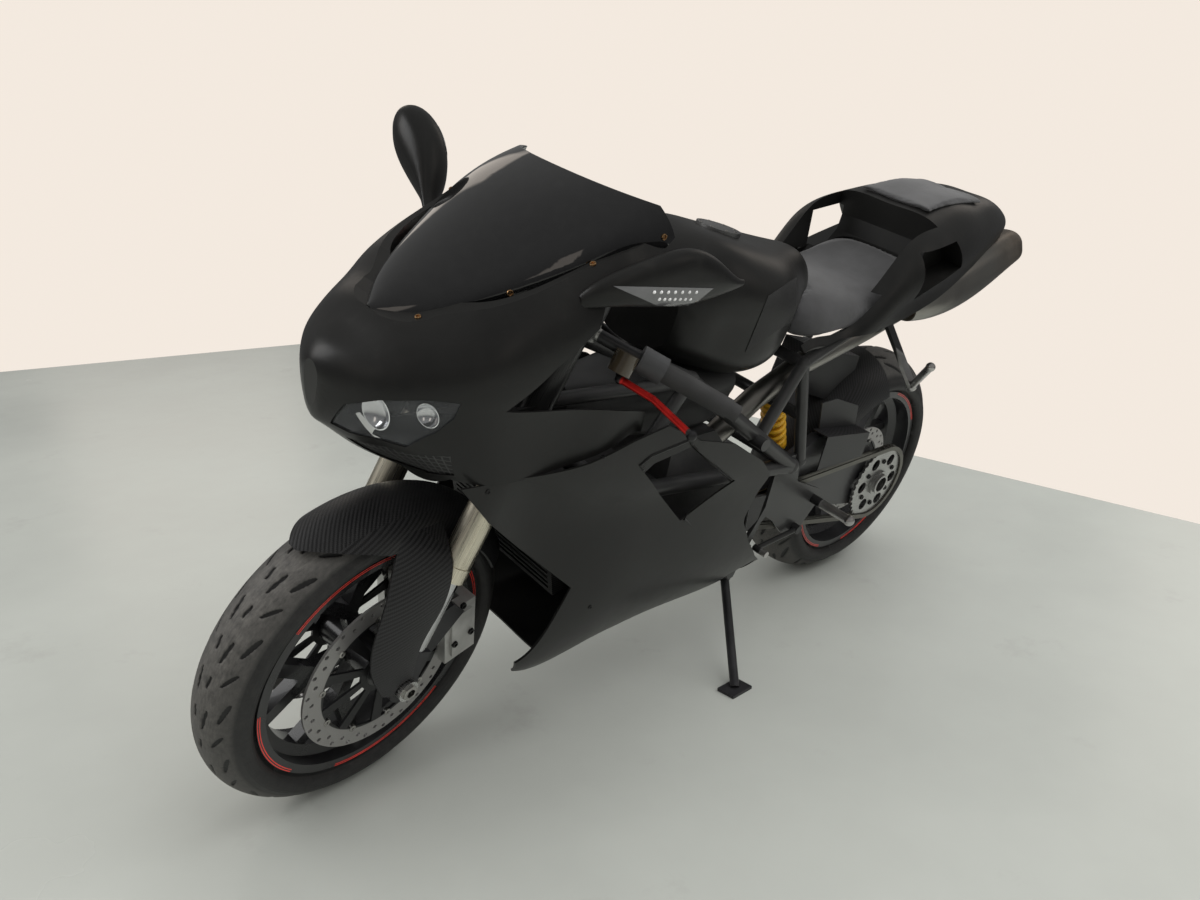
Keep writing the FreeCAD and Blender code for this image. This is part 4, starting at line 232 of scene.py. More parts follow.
def brushed(name, colour, rough, place, axis=1, lines=420, strength=.12):  # fine tool lines along one axis
    finish = Finish(name)
    lanes = finish.local(place)
    other = [lane for index, lane in enumerate(lanes) if index != axis]
    streak = finish.noise(1, 3, .6, finish.joined(other[0] * (lines / 1000), other[1] * (lines / 1000),
                                                  lanes[axis] * (lines / 30000)))
    cloud = finish.noise(14, 4, .6)
    darker = tuple(channel * .72 for channel in colour)
    finish.set(colour=finish.blend(finish.spread(cloud * .6 + streak * .4, .35, .65), darker, colour),
               rough=finish.spread(streak, .3, .7, rough - .08, rough + .1), metal=1)
    finish.bump(streak, strength, .0004)
    return finish


# Twill, with steps of two over two, wrapped round the wheel on top and flat on the sides
def carbonWeave(name, place, pitch=2.1, wrap=320, steep=.62):
    finish = Finish(name)
    x, y, z = finish.local(place)
    along = z.do("ARCTAN2", x) * wrap
    facing = finish.node("ShaderNodeNewGeometry", out="Normal")
    upright = finish.dot(facing, place.to_3x3().col[1].normalized())
    sideways = abs(upright).above(steep)

    def twill(first, second):
        column = (first / pitch).do("FLOOR")
        row = (second / pitch).do("FLOOR")
        over = ((column + row) / 4).part().below(.49)
        warp = (first / pitch).part() * (1 - (first / pitch).part()) * 4
        weft = (second / pitch).part() * (1 - (second / pitch).part()) * 4
        return over, over * warp + (1 - over) * weft

    topOver, topRise = twill(along, y)
    sideOver, sideRise = twill(x, z)
    over = sideways * sideOver + (1 - sideways) * topOver
    lift = sideways * sideRise + (1 - sideways) * topRise
    finish.set(colour=finish.blend(over, (.006, .006, .0065), (.021, .021, .022)),
               rough=finish.spread(over + finish.noise(11, 3) * .4, 0, 1.4, .34, .5), coat=.15, coatRough=.3,
               specular=.35)
    finish.bump(lift, .35, .0006)
    return finish


def tinted(name, colour, rough=.04, coat=1, **more):
    finish = Finish(name)
    dust = finish.spread(finish.noise(60, 6, .7), .45, .75)
    finish.set(colour=finish.blend(dust * .05, colour, (.05, .05, .05)),
               rough=finish.spread(dust, 0, 1, rough, rough + .03), coat=coat, coatRough=.03, **more)
    return finish


def paintFinish():
    finish = Finish("mattePaint")
    cloud = finish.noise(5.5, 5, .62)
    handling = finish.noise(22, 6, .7)
    grain = finish.noise(1600, 2, .5)
    tone = finish.blend(finish.spread(cloud, .3, .7), (.0056, .0056, .0054), (.0098, .0096, .009))
    dusty = finish.spread(handling, .58, .8)
    finish.set(colour=finish.blend(dusty * .22, tone, (.03, .029, .026)),
               rough=finish.spread(cloud * .7 + handling * .3, .3, .75, .3, .42), specular=.34)
    finish.bump(grain, .05, .0004)
    return finish


# One finish near the middle, another farther out
def byReach(name, place, axis, low, high, inside, outside, rough, metal):
    finish = Finish(name)
    lane = abs(finish.local(place)[axis])
    share = finish.spread(lane, low, high)
    fine = finish.noise(900, 2, .5)
    cloud = finish.noise(14, 4, .6)
    patches = finish.spread(cloud, .35, .65)
    first, second = (finish.blend(patches, tuple(channel * .75 for channel in tone), tone)
                     for tone in (inside, outside))
    finish.set(colour=finish.blend(share, first, second),
               rough=finish.spread(cloud, .3, .7, rough - .06, rough + .08),
               metal=share * (metal[1] - metal[0]) + metal[0])
    finish.bump(fine, .12, .0005)
    return finish


blade = {"start": 200, "end": 317, "edge": 1}  # the red stretch of each lever, out from the middle


def leverFinish():  # red blade with a black ball at its end
    finish = Finish("redLever")
    out = abs(finish.local(forkPlace)[1])
    redPart = (finish.spread(out, blade["start"] - blade["edge"], blade["start"] + blade["edge"])
               * (1 - finish.spread(out, blade["end"] - blade["edge"], blade["end"] + blade["edge"])))
    cloud = finish.noise(40, 4, .6)
    red = finish.blend(finish.spread(cloud, .35, .65), (.38, .012, .01), (.56, .02, .016))
    finish.set(colour=finish.blend(redPart, (.016, .016, .017), red),
               rough=finish.spread(cloud, .3, .7, .26, .36), metal=redPart * .5 + .3)
    finish.bump(cloud, .05, .0003)
    return finish


clampRing = 40  # radius of the silver part round each fork tube


def clampFinish():  # silver plates round the fork tubes, black bars
    finish = Finish("clipOns")
    x, y, z = finish.local(forkPlace)
    away = ((x - machine["forkOffset"]) ** 2 + (abs(y) - machine["forkAside"]) ** 2) ** .5
    share = finish.spread(away, clampRing + 1, clampRing - 1)
    cloud = finish.noise(30, 4, .6)
    silver = finish.blend(finish.spread(cloud, .35, .65), (.32, .32, .31), (.5, .5, .48))
    finish.set(colour=finish.blend(share, (.018, .018, .019), silver),
               rough=finish.spread(cloud, .3, .7, .3, .42), metal=share * .6 + .3)
    finish.bump(finish.noise(900, 2), .1, .0004)
    return finish


paintedShadeFrom = 400  # height on the fork where the champagne finish ends and painted shade begins


def forkFinish():  # champagne tube with painted shade: near black where it runs up into the shade inside the fairing
    finish = Finish("champagneTubePaintedShade")
    x, y, z = finish.local(forkPlace)
    streak = finish.noise(1, 3, .6, finish.joined(x * .4, y * .4, z * .014))
    pale = finish.blend(finish.spread(streak, .35, .65), (.56, .52, .42), (.78, .73, .6))
    # painted shade: above this height the tube is painted near black, where the fairing shades it
    paintedShade = finish.spread(z, paintedShadeFrom, paintedShadeFrom + 4)
    finish.set(colour=finish.blend(paintedShade, pale, (.02, .02, .02)),
               rough=finish.spread(streak, .3, .7, .24, .38), metal=1 - paintedShade * .7)
    finish.bump(streak, .1, .0004)
    return finish


def finned(name, place, axis, pitch, dark, pale):  # rows of thin fins, with painted shade in the gaps between them
    finish = Finish(name)
    lane = finish.local(place)[axis]
    row = (lane / pitch).part()
    # painted shade: the gaps between the fins are painted darker than the fin edges
    fin = row.below(.32)
    cloud = finish.noise(20, 4, .6)
    finish.set(colour=finish.blend(fin, dark, pale), rough=finish.spread(cloud, .3, .7, .45, .6), metal=.5)
    finish.bump(fin, .6, .001)
    return finish


def honeycomb(name, place, pitch):  # wire mesh with six-sided holes, seen along the machine; the holes are painted near black as painted shade
    finish = Finish(name)
    x, y, z = finish.local(place)
    cells = finish.node("ShaderNodeTexVoronoi", {"feature": "DISTANCE_TO_EDGE"},
                        {"Vector": finish.joined(y / pitch, z / pitch, 0), "Scale": 1, "Randomness": 0}, 0)
    wire = finish.spread(cells, .12, .09)
    # painted shade: the holes between the wires are painted near black
    finish.set(colour=finish.blend(wire, (.003, .003, .003), (.05, .05, .05)), rough=.5)
    finish.bump(wire, .7, .001)
    return finish


finishes = {
    "paint": paintFinish(),
    "screen": tinted("tintedScreen", (.003, .003, .0033), .035, coat=.9, specular=.5),
    "carbon": carbonWeave("wovenCarbon", frontWheel),
    "carbonRear": carbonWeave("wovenCarbonRear", rearWheel),
    "champagne": forkFinish(),
    "slider": brushed("polishedSlider", (.62, .62, .63), .14, forkPlace, 2, 300, .04),
    "blackCast": satin("blackAnodised", (.028, .028, .03), .42, metal=.5, grain=700, grainStrength=.15),
    "axle": brushed("turnedSteel", (.7, .7, .69), .26, forkPlace, 1),
    "rubber": satin("gripRubber", (.028, .028, .028), .75, grain=500, grainStrength=.4),
    "switch": satin("switchPlastic", (.045, .046, .048), .55, grain=1300, grainStrength=.25),
    "lever": leverFinish(),
    "cup": Finish("amberCup").set(colour=(.045, .035, .022), rough=.2, coat=.5),
    "caliper": satin("caliperGrey", (.5, .5, .48), .42, metal=.55, grain=500, grainStrength=.25,
                     wear=(.2, .19, .18)),
    "rim": satin("rimBlack", (.012, .012, .013), .3, coat=.3, wear=(.05, .045, .04)),
    "engine": satin("castCase", (.07, .07, .07), .6, metal=.5, grain=260, grainStrength=.4),
    "frameTube": satin("frameBlack", (.02, .02, .02), .4, coat=.15, grain=900),
    "swingarm": satin("armBlack", (.016, .016, .017), .4, coat=.2, grain=500, grainStrength=.15,
                      wear=(.06, .055, .05)),
    "cap": satin("capGrey", (.16, .16, .16), .42, metal=.85, grain=900, wear=(.3, .3, .3)),
    "plastic": satin("plainBlack", (.022, .022, .022), .55, grain=1200, grainStrength=.3),
    "riderPeg": byReach("riderPegs", bikePlace, 1, 178, 181, (.016, .016, .016), (.6, .59, .58), .34,
                        (.3, 1)),
    "passengerPeg": byReach("passengerPegs", bikePlace, 1, 143, 146, (.016, .016, .016), (.6, .59, .58), .32,
                            (.3, 1)),
    "clipOn": clampFinish(),
    "fins": finned("radiatorFins", bikePlace, 2, 5, (.01, .01, .01), (.05, .05, .05)),
    "mesh": honeycomb("intakeMesh", bikePlace, 8),
    "spring": satin("yellowSpring", (.72, .4, .02), .38, coat=.3),
    "chainSteel": satin("oiledChain", (.12, .115, .1), .35, metal=.9, grain=400, wear=(.03, .025, .02)),
    "tailRed": Finish("tailLens").set(colour=(.35, .01, .01), rough=.12, coat=1, alpha=.95),
    "copper": satin("copperBolt", (.55, .33, .16), .28, metal=1),
    "bolt": satin("zincBolt", (.42, .41, .39), .3, metal=1),
    "blackBolt": satin("blackBolt", (.02, .02, .02), .38, metal=.7),
    "glass": tinted("mirrorGlass", (.55, .56, .57), .02, metal=1),
    "dark": satin("darkInside", (.006, .006, .006), .7),
    "redTape": satin("redTape", (.75, .045, .03), .4, grain=600),
    "sprocket": brushed("sprocketSteel", (.5, .5, .49), .32, rearWheel, 0),
}


canTone = {"tail": -326, "warmed": -190}  # where along the machine the can's end turns warm


def heatedCan():
    finish = Finish("heatTonedCan")
    x, y, z = finish.local(bikePlace)
    toEnd = finish.spread(x, canTone["tail"], canTone["warmed"])
    cloud = finish.noise(16, 5, .65)
    warm = finish.blend(finish.spread(cloud, .35, .65), (.2, .165, .13), (.34, .3, .26))
    finish.set(colour=finish.blend(toEnd, warm, (.3, .29, .27)),
               rough=finish.spread(cloud, .3, .7, .28, .45), metal=1)
    finish.bump(finish.noise(420, 2), .1, .0005)
    return finish


def discSteel(name, place, inner):
    finish = Finish(name)
    x, y, z = finish.local(place)
    out = (x * x + z * z) ** .5
    rings = finish.noise(1, 2, .5, finish.joined(out * 2.4, 0, 0))
    carrierShare = finish.spread(out, inner - .5, inner + .5)
    band = finish.blend(finish.spread(rings, .3, .7), (.26, .255, .25), (.42, .41, .4))
    finish.set(colour=finish.blend(carrierShare, (.02, .02, .021), band),
               rough=finish.spread(rings, .3, .7, .28, .42), metal=carrierShare * .2 + .5)
    finish.bump(rings, .12, .0003)
    return finish


def suede(name, colour=(.021, .021, .022)):
    finish = Finish(name)
    nap = finish.noise(700, 4, .7)
    brush = finish.noise(26, 4, .6)
    lighter = tuple(channel * 1.7 for channel in colour)
    finish.set(colour=finish.blend(finish.spread(brush * .5 + nap * .5, .38, .62), colour, lighter),
               rough=finish.spread(nap, .3, .7, .78, .95), sheen=.25)
    finish.bump(nap, .3, .0006)
    return finish


def tyreRubber(name, place, half, radius, crown):
    finish = Finish(name)
    x, y, z = finish.local(place)
    side = abs(y)
    out = (x * x + z * z) ** .5
    onTread = finish.spread(side, half * .9, half * .82)
    middle = finish.spread(side, half * .8, half * .35)
    scuff = finish.noise(70, 6, .75)
    turning = z.do("ARCTAN2", x) * 60
    streak = finish.noise(1, 4, .7, finish.joined(turning * .35, y * .28, 3))
    grime = finish.spread(scuff * .5 + streak * .5, .34, .66) * (middle * .55 + .45)
    worn = finish.blend(grime, (.034, .033, .031), (.135, .128, .118))
    wall = finish.blend(finish.spread(scuff, .4, .7), (.012, .012, .012), (.026, .025, .024))
    # painted shade: tread slots are painted darker with their depth below the crown, down to near black
    crest = (crown * crown - (y * y).least(crown * crown * .98)) ** .5 + (radius - crown)
    sunk = finish.spread(crest - out, .7, 2.2) * onTread
    tone = finish.blend(sunk, finish.blend(onTread, wall, worn), (.008, .008, .008))
    finish.set(colour=tone, rough=finish.spread(grime, 0, 1, .55, .8))
    ribs = (out * 1.3).wave() * (1 - onTread)
    finish.bump(scuff * .6 + ribs * .2, .4, .0009)
    return finish


finishes["can"] = heatedCan()
finishes["frontDisc"] = discSteel("frontDisc", frontWheel, 125)
finishes["rearDisc"] = discSteel("rearDisc", rearWheel, 88)
finishes["suede"] = suede("seatSuede")
finishes["pad"] = satin("tankPad", (.014, .014, .014), .62, grain=350, grainStrength=.6)
finishes["frontRubber"] = tyreRubber("frontRubber", frontWheel, 60, 300, 62)
finishes["rearRubber"] = tyreRubber("rearRubber", rearWheel, 90, 315, 96)
finishes["lampGlass"] = Finish("lampGlass").set(colour=(.2, .21, .22), rough=.03, alpha=.2, coat=1,
                                                coatRough=.02)
finishes["ledLens"] = satin("ledLens", (.8, .81, .82), .15, coat=1)
finishes["smokedLens"] = satin("smokedLens", (.1, .1, .105), .12, coat=1, spread=.04)
finishes["chrome"] = satin("lampReflector", (.75, .76, .78), .12, metal=1, spread=.04)

worn = {
    "front_tyre": "frontRubber", "rear_tyre": "rearRubber", "front_rim": "rim", "rear_rim": "rim",
    "front_brake_discs": "frontDisc", "rear_brake_disc": "rearDisc", "rear_sprocket": "sprocket",
    "fork_tubes": "champagne", "fork_sliders": "slider", "front_axle": "axle",
    "triple_clamps": "blackCast", "clip_on_bars": "clipOn", "grips": "rubber", "switchgear": "switch",
    "levers": "lever", "fluid_reservoirs": "cup", "front_calipers": "caliper",
    "fork_feet": "blackCast", "front_fender": "carbon", "windscreen": "screen",
    "nose_fairing": "paint", "headlights": "lampGlass", "intake_mesh": "mesh",
    "lower_fairing_left": "paint", "lower_fairing_right": "paint", "engine_block": "engine",
    "trellis_frame": "frameTube", "silencers": "can", "fuel_tank": "paint", "fuel_cap": "cap",
    "seat": "suede", "tail_fairing": "paint", "tail_light": "tailRed", "swingarm": "swingarm",
    "rear_caliper": "caliper", "rear_shock": "spring", "drive_chain": "chainSteel",
    "sprocket_cover": "plastic", "rear_hugger": "carbonRear", "rider_footrests": "riderPeg",
    "passenger_footrests": "passengerPeg", "radiator": "fins", "instrument_panel": "plastic",
    "mirrors": "paint", "side_stand": "blackCast", "airbox": "plastic"}
for name, item in nodes.items():
    item.data.materials.clear()
    item.data.materials.append(finishes[worn[name]].material)
print("finishes on", len(worn), "nodes")


# Shapes
def makePiece(name, points, faces, body, slot, finish, place=None, sharp=40):
    mesh = bpy.data.meshes.new(name)
    if place is not None:
        points = [place @ Vector(point) for point in points]
    mesh.from_pydata([tuple(point) for point in points], [], faces)
    mesh.validate()
    shape = bmesh.new()
    shape.from_mesh(mesh)
    bmesh.ops.remove_doubles(shape, verts=shape.verts, dist=1e-6)
    bmesh.ops.recalc_face_normals(shape, faces=shape.faces)
    shape.to_mesh(mesh)
    shape.free()
    mesh.shade_smooth()
    mesh.set_sharp_from_angle(angle=math.radians(sharp))
    piece = bpy.data.objects.new(name, mesh)
    bpy.context.scene.collection.objects.link(piece)
    piece.data.materials.append(finishes[finish].material)
    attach(piece, body)
    return piece


def ringFaces(steps, rows):  # faces between neighbouring sections of a closed ring of them
    faces = []
    for step in range(steps):
        here, after = step * rows, (step + 1) % steps * rows
        faces += [(here + row, here + row + 1, after + row + 1, after + row) for row in range(rows - 1)]
    return faces


# Points and faces of a lathe form about an axis, lengths in mm
def turned(profile, centre, axis, segments=24):
    axis = Vector(axis).normalized()
    aside = axis.orthogonal().normalized()
    third = axis.cross(aside)
    points = []
    for step in range(segments):
        angle = math.tau * step / segments
        out = aside * math.cos(angle) + third * math.sin(angle)
        points += [Vector(centre) + (out * radius + axis * height) / 1000 for radius, height in profile]
    return points, ringFaces(segments, len(profile))


def gather(parts):  # several sets of points and faces as one
    points, faces = [], []
    for morePoints, moreFaces in parts:
        shift = len(points)
        points += morePoints
        faces += [tuple(index + shift for index in face) for face in moreFaces]
    return points, faces


def boltForm(centre, axis, radius, height, sink=1.0):  # round head with a six-sided key hole
    head = [(0, -sink), (radius, -sink), (radius, height * .6), (radius * .86, height)]
    head.append((radius * .55, height))
    hole = [(radius * .55, height), (radius * .5, height * .35), (0, height * .3)]
    lip = [(radius * .55, height), (radius * .52, height - .1)]
    return gather([turned(part, centre, axis, sides) for part, sides in ((head, 18), (hole, 6), (lip, 18))])


def boltSet(name, spots, body, slot, finish):
    return makePiece(name, *gather([boltForm(*spot) for spot in spots]), body, slot, finish, sharp=35)


def throughThree(first, middle, last, count):  # points of the circle arc through three points of a section
    (ax, ay), (bx, by), (cx, cy) = first, middle, last
    twice = 2 * (ax * (by - cy) + bx * (cy - ay) + cx * (ay - by))
    a, b, c = ax * ax + ay * ay, bx * bx + by * by, cx * cx + cy * cy
    ux = (a * (by - cy) + b * (cy - ay) + c * (ay - by)) / twice
    uy = (a * (cx - bx) + b * (ax - cx) + c * (bx - ax)) / twice
    start = math.atan2(ay - uy, ax - ux)
    turn = math.atan2(cy - uy, cx - ux) - start
    half = math.atan2(by - uy, bx - ux) - start
    turn = (turn + math.pi) % math.tau - math.pi
    half = (half + math.pi) % math.tau - math.pi
    if half * turn < 0:
        turn -= math.copysign(math.tau, turn)
    size = math.hypot(ax - ux, ay - uy)
    angles = [start + turn * step / count for step in range(count + 1)]
    return [(ux + size * math.cos(angle), uy + size * math.sin(angle)) for angle in angles]


# Tyres: the moulded section with cut slots in the tread
tyres = {
    "front": {"radius": 300, "width": 120, "crown": 62, "bead": 43.7, "rows": 56, "steps": 1000,
              "place": frontWheel, "body": "front_wheel", "repeats": 15,
              "slots": [(0, 12, 38, 17, 6), (24, 36, 64, 45, 6), (76, 6, 98, 8, 5), (92, 28, 120, 42, 5.5)]},
    "rear": {"radius": 315, "width": 180, "crown": 96, "bead": 70.7, "rows": 64, "steps": 980,
             "place": rearWheel, "body": "rear_wheel", "repeats": 13,
             "slots": [(0, 20, 60, 38, 8), (36, 50, 96, 72, 8), (84, 12, 126, 18, 7), (116, 58, 146, 78, 7)]}}
moulding = {"seat": 218, "lip": 229.3, "flank": 235, "flankOut": 3, "shoulder": 6, "wallRows": 9,
            "bare": 7, "slotDepth": 3.2, "slotEdge": 1.1}


def slotDepths(along, offset, side, slots, pitch):  # how deep each point of the tread lies under the slots
    depth = np.zeros_like(along)
    for startArc, startSide, endArc, endSide, wide in slots:
        run = np.array([endArc - startArc, endSide - startSide], float)
        length = np.hypot(*run)
        for shift in (-pitch, 0, pitch):
            dx, dy = along - startArc + shift, side * offset - startSide
            share = np.clip((dx * run[0] + dy * run[1]) / length ** 2, 0, 1)
            gap = np.hypot(dx - share * run[0], dy - share * run[1])
            width = wide / 2 * (1 - .5 * np.abs(share * 2 - 1) ** 3)
            sunk = np.clip((width - gap) / moulding["slotEdge"] + .5, 0, 1) * moulding["slotDepth"]
            depth = np.maximum(depth, sunk)
    return depth


def makeTyre(name, sizes):
    half = sizes["width"] / 2
    edge = half - moulding["shoulder"]
    shoulder = sizes["radius"] - (sizes["crown"] - math.sqrt(sizes["crown"] ** 2 - edge ** 2))
    waist = (shoulder + moulding["seat"]) / 2
    tread = throughThree((shoulder, -edge), (sizes["radius"], 0), (shoulder, edge), sizes["rows"])
    wall = throughThree((moulding["flank"], sizes["bead"] + moulding["flankOut"]), (waist, half),
                        (shoulder, edge), moulding["wallRows"])
    left = [(moulding["seat"], sizes["bead"]), (moulding["lip"], sizes["bead"])] + wall[:-1]
    section = np.array([(radius, -offset) for radius, offset in left] + tread + left[::-1])
    steps = sizes["steps"]
    turn = np.arange(steps) * math.tau / steps
    reach = np.repeat(section[None, :, 0], steps, 0)
    offset = np.repeat(section[None, :, 1], steps, 0)
    arc = (turn * sizes["radius"])[:, None] + 0 * reach
    pitch = math.tau * sizes["radius"] / sizes["repeats"]
    cutDepth = np.zeros_like(reach)
    for side in (1, -1):
        along = (arc + (0 if side > 0 else pitch / 2)) % pitch
        cutDepth = np.maximum(cutDepth, slotDepths(along, offset, side, sizes["slots"], pitch))
    reach = reach - cutDepth * (np.abs(offset) < half - moulding["bare"])
    points = np.stack([reach * np.cos(turn)[:, None], offset, reach * np.sin(turn)[:, None]], -1)
    tyre = makePiece(name + "TyreTread", points.reshape(-1, 3).tolist(), ringFaces(steps, len(section)),
                     sizes["body"], "tyre", name + "Rubber", sizes["place"], 50)
    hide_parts(name + "_tyre")


for name, sizes in tyres.items():
    makeTyre(name, sizes)
print("tyres made")

# Rim tape: two thin lines over part of each rim edge
rimTape = {"radii": (223.6, 227.4), "wide": 1.5, "proud": .35, "steps": 40,
           "arcs": [(18, 78), (108, 150), (200, 262), (290, 338)],
           "wheels": {"front": (frontWheel, 50), "rear": (rearWheel, 77)}}


def arcStrip(place, radius, half, flip, start, end):  # half is the rim's half width, flip its side
    wide, proud, steps = rimTape["wide"], rimTape["proud"], rimTape["steps"]
    corners = ((radius - wide / 2, 0), (radius - wide / 2, proud), (radius + wide / 2, proud),
               (radius + wide / 2, 0))
    points, faces = [], []
    for step in range(steps + 1):
        angle = math.radians(start + (end - start) * step / steps)
        for reach, lift in corners:
            spot = (reach * math.cos(angle), flip * (half + lift), reach * math.sin(angle))
            points.append(place @ Vector(spot))
    for step in range(steps):
        here, after = step * 4, step * 4 + 4
        faces += [(here + row, here + (row + 1) % 4, after + (row + 1) % 4, after + row) for row in range(4)]
    faces += [(0, 1, 2, 3), tuple(steps * 4 + row for row in (3, 2, 1, 0))]
    return points, faces


for name, (place, half) in rimTape["wheels"].items():
    strips = [arcStrip(place, radius, half, flip, start, end) for flip in (1, -1)
              for radius in rimTape["radii"] for start, end in rimTape["arcs"]]
    makePiece(name + "RimTape", *gather(strips), name + "_wheel", "rim", "redTape")

# Bobbins that carry the brake rings
bobbins = {"front": {"reach": 124.5, "count": 10, "offsets": (68, -68), "radius": 6.5, "place": frontWheel},
           "rear": {"reach": 86, "count": 8, "offsets": (62,), "radius": 5.5, "place": rearWheel}}
bobbinHalf = {"wall": 3.2, "lip": 3.8}
for name, sizes in bobbins.items():
    radius, wall, lip = sizes["radius"], bobbinHalf["wall"], bobbinHalf["lip"]
    profile = [(radius * .35, -wall), (radius, -wall), (radius, wall), (radius * .8, lip),
               (radius * .45, lip), (radius * .35, wall), (radius * .35, -wall)]
    axis = sizes["place"].to_3x3().col[1].normalized()
    forms = []
    for offset in sizes["offsets"]:
        for step in range(sizes["count"]):
            angle = math.tau * (step + .5) / sizes["count"]
            spot = (sizes["reach"] * math.cos(angle), offset, sizes["reach"] * math.sin(angle))
            forms.append(turned(profile, sizes["place"] @ Vector(spot), axis, 16))
    makePiece(name + "Bobbins", *gather(forms), name + "_wheel", "disc", "bolt")

# Screws, seen in the photograph and repeated on the other side; the first one stands on the middle line
screenScrews = {"pixels": [(418, 317), (510, 293), (593, 264), (664, 237)], "size": (5, 2.4)}
fairingScrews = {"pixels": [(603, 457), (488, 492), (590, 607), (754, 512)], "size": (4.2, 1.8)}
spots = []
for index, pixel in enumerate(screenScrews["pixels"]):
    name = nearest(pixel, ("windscreen", "nose_fairing"))
    hit, normal = seen(pixel, name)
    spots.append((hit, normal, *screenScrews["size"]))
    if index:
        spots.append((*across(hit, normal, name), *screenScrews["size"]))
boltSet("screenScrews", spots, "chassis", "axle", "copper")
spots = []
for pixel in fairingScrews["pixels"]:
    hit, normal = seen(pixel, "lower_fairing_left")
    spots.append((hit, normal, *fairingScrews["size"]))
    spots.append((*across(hit, normal, "lower_fairing_right"), *fairingScrews["size"]))
boltSet("fairingScrews", spots, "chassis", "paint", "blackBolt")
print("screws placed")


# Thin covers and beads that follow a surface
def coverForm(grid, proud, sink=.6):  # a closed thin plate from rows of (point, normal)
    rows, columns = len(grid), len(grid[0])
    points = [point + normal * lift / 1000 for lift in (proud, -sink)
              for row in grid for point, normal in row]
    under = rows * columns
    faces = []
    for row in range(rows - 1):
        for column in range(columns - 1):
            first = row * columns + column
            face = (first, first + 1, first + columns + 1, first + columns)
            faces += [face, tuple(index + under for index in reversed(face))]
    edge = [column for column in range(columns)] + [row * columns + columns - 1 for row in range(1, rows)]
    edge += [(rows - 1) * columns + column for column in range(columns - 2, -1, -1)]
    edge += [row * columns for row in range(rows - 2, 0, -1)]
    for index, first in enumerate(edge):
        second = edge[(index + 1) % len(edge)]
        faces.append((second, first, first + under, second + under))
    return points, faces


def pixelGrid(corners, node, columns=26, rows=14):
    topLeft, topRight, lowRight, lowLeft = (Vector(corner) for corner in corners)
    grid = []
    for row in range(rows):
        down = row / (rows - 1)
        left, right = topLeft.lerp(lowLeft, down), topRight.lerp(lowRight, down)
        grid.append([seen(left.lerp(right, column / (columns - 1)), node) for column in range(columns)])
    return grid


def mirrored(grid, node):
    return [[across(*spot, node) for spot in row] for row in grid]


def beadForm(spots, radius, closed=False, sides=8, sink=.2):  # a thin round bead along (point, normal) spots
    points, faces = [], []
    count = len(spots)
    for index, (point, normal) in enumerate(spots):
        before = spots[index - 1][0] if index or closed else point
        after = spots[(index + 1) % count][0] if index < count - 1 or closed else point
        way = (after - before).normalized()
        beside = normal.cross(way).normalized()
        for step in range(sides):
            angle = 2 * math.pi * step / sides
            out = beside * math.cos(angle) + normal * (math.sin(angle) - sink)
            points.append(point + out * radius / 1000)
    for index in range(count if closed else count - 1):
        after = (index + 1) % count
        for step in range(sides):
            turnOn = (step + 1) % sides
            faces.append((index * sides + step, index * sides + turnOn, after * sides + turnOn,
                          after * sides + step))
    if not closed:
        faces += [tuple(range(sides)), tuple((count - 1) * sides + step for step in reversed(range(sides)))]
    return points, faces


def pixelLine(pixels, node, closed=False, step=5):
    spots = []
    ends = pixels[1:] + pixels[:1] if closed else pixels[1:]
    for first, second in zip(pixels, ends):
        first, second = Vector(first), Vector(second)
        count = max(1, int((second - first).length / step))
        spots += [seen(first.lerp(second, index / count), node) for index in range(count)]
    return spots if closed else spots + [seen(Vector(pixels[-1]), node)]


def onRing(middle, radius, height, step, count, plane):
    # one of the places spread round a ring, which lies across the wheels or flat
    angle = math.tau * (step + .5) / count
    across, along = radius * math.cos(angle), radius * math.sin(angle)
    return (middle + across, height, along) if plane == "wheel" else (middle + across, along, height)


def localHit(place, spot, way, node):  # where a ray from a local spot along a local way meets a node
    start = place @ Vector(spot)
    heading = (place.to_3x3() @ Vector(way)).normalized()
    hit, normal = trees[node].ray_cast(start, heading)[:2]
    if hit is None:
        hit, normal = trees[node].find_nearest(start)[:2]
    return hit, -normal if normal.dot(heading) > 0 else normal


tankPads = {"corners": [(768, 296), (796, 277), (795, 318), (745, 352)], "proud": 1.2}
grid = pixelGrid(tankPads["corners"], "fuel_tank")
covers = [coverForm(side, tankPads["proud"]) for side in (grid, mirrored(grid, "fuel_tank"))]
makePiece("tankPads", *gather(covers), "chassis", "grip", "pad")

# Indicator in the mirror: a smoked cover with two rows of small lights
mirrorLamp = {"corners": [(613, 286), (713, 288), (691, 306), (657, 305)], "proud": 1.2,
              "lights": ((292, 654, 696), (299, 659, 690)), "count": 7,
              "bead": [(3, .8), (2.7, 1.8), (1.5, 2.7), (0, 3)]}
cover = coverForm(pixelGrid(mirrorLamp["corners"], "mirrors"), mirrorLamp["proud"])
makePiece("mirrorLamp", *cover, "chassis", "lens", "smokedLens", sharp=30)
ledForms = []
for y, start, end in mirrorLamp["lights"]:
    for index in range(mirrorLamp["count"]):
        x = start + (end - start) * index / (mirrorLamp["count"] - 1)
        ledForms.append(turned(mirrorLamp["bead"], *seen((x, y), "mirrors"), 12))
makePiece("mirrorLights", *gather(ledForms), "chassis", "lens", "ledLens", sharp=60)

seatLock = {"pixel": (881.5, 241), "size": (8, 2)}
spot = seen(seatLock["pixel"], nearest(seatLock["pixel"], ("seat", "tail_fairing")))
boltSet("seatLock", [(*spot, *seatLock["size"])], "chassis", "axle", "bolt")

# Rim round the air duct in each fairing half
ductRim = {"pixels": [(640, 465), (651, 456), (690, 440), (706, 478), (684, 519)], "radius": 3.2}
line = pixelLine(ductRim["pixels"], "lower_fairing_left", True)
farLine = [across(*spot, "lower_fairing_right") for spot in line]
rims = [beadForm(side, ductRim["radius"], True) for side in (line, farLine)]
makePiece("ductRims", *gather(rims), "chassis", "paint", "paint")

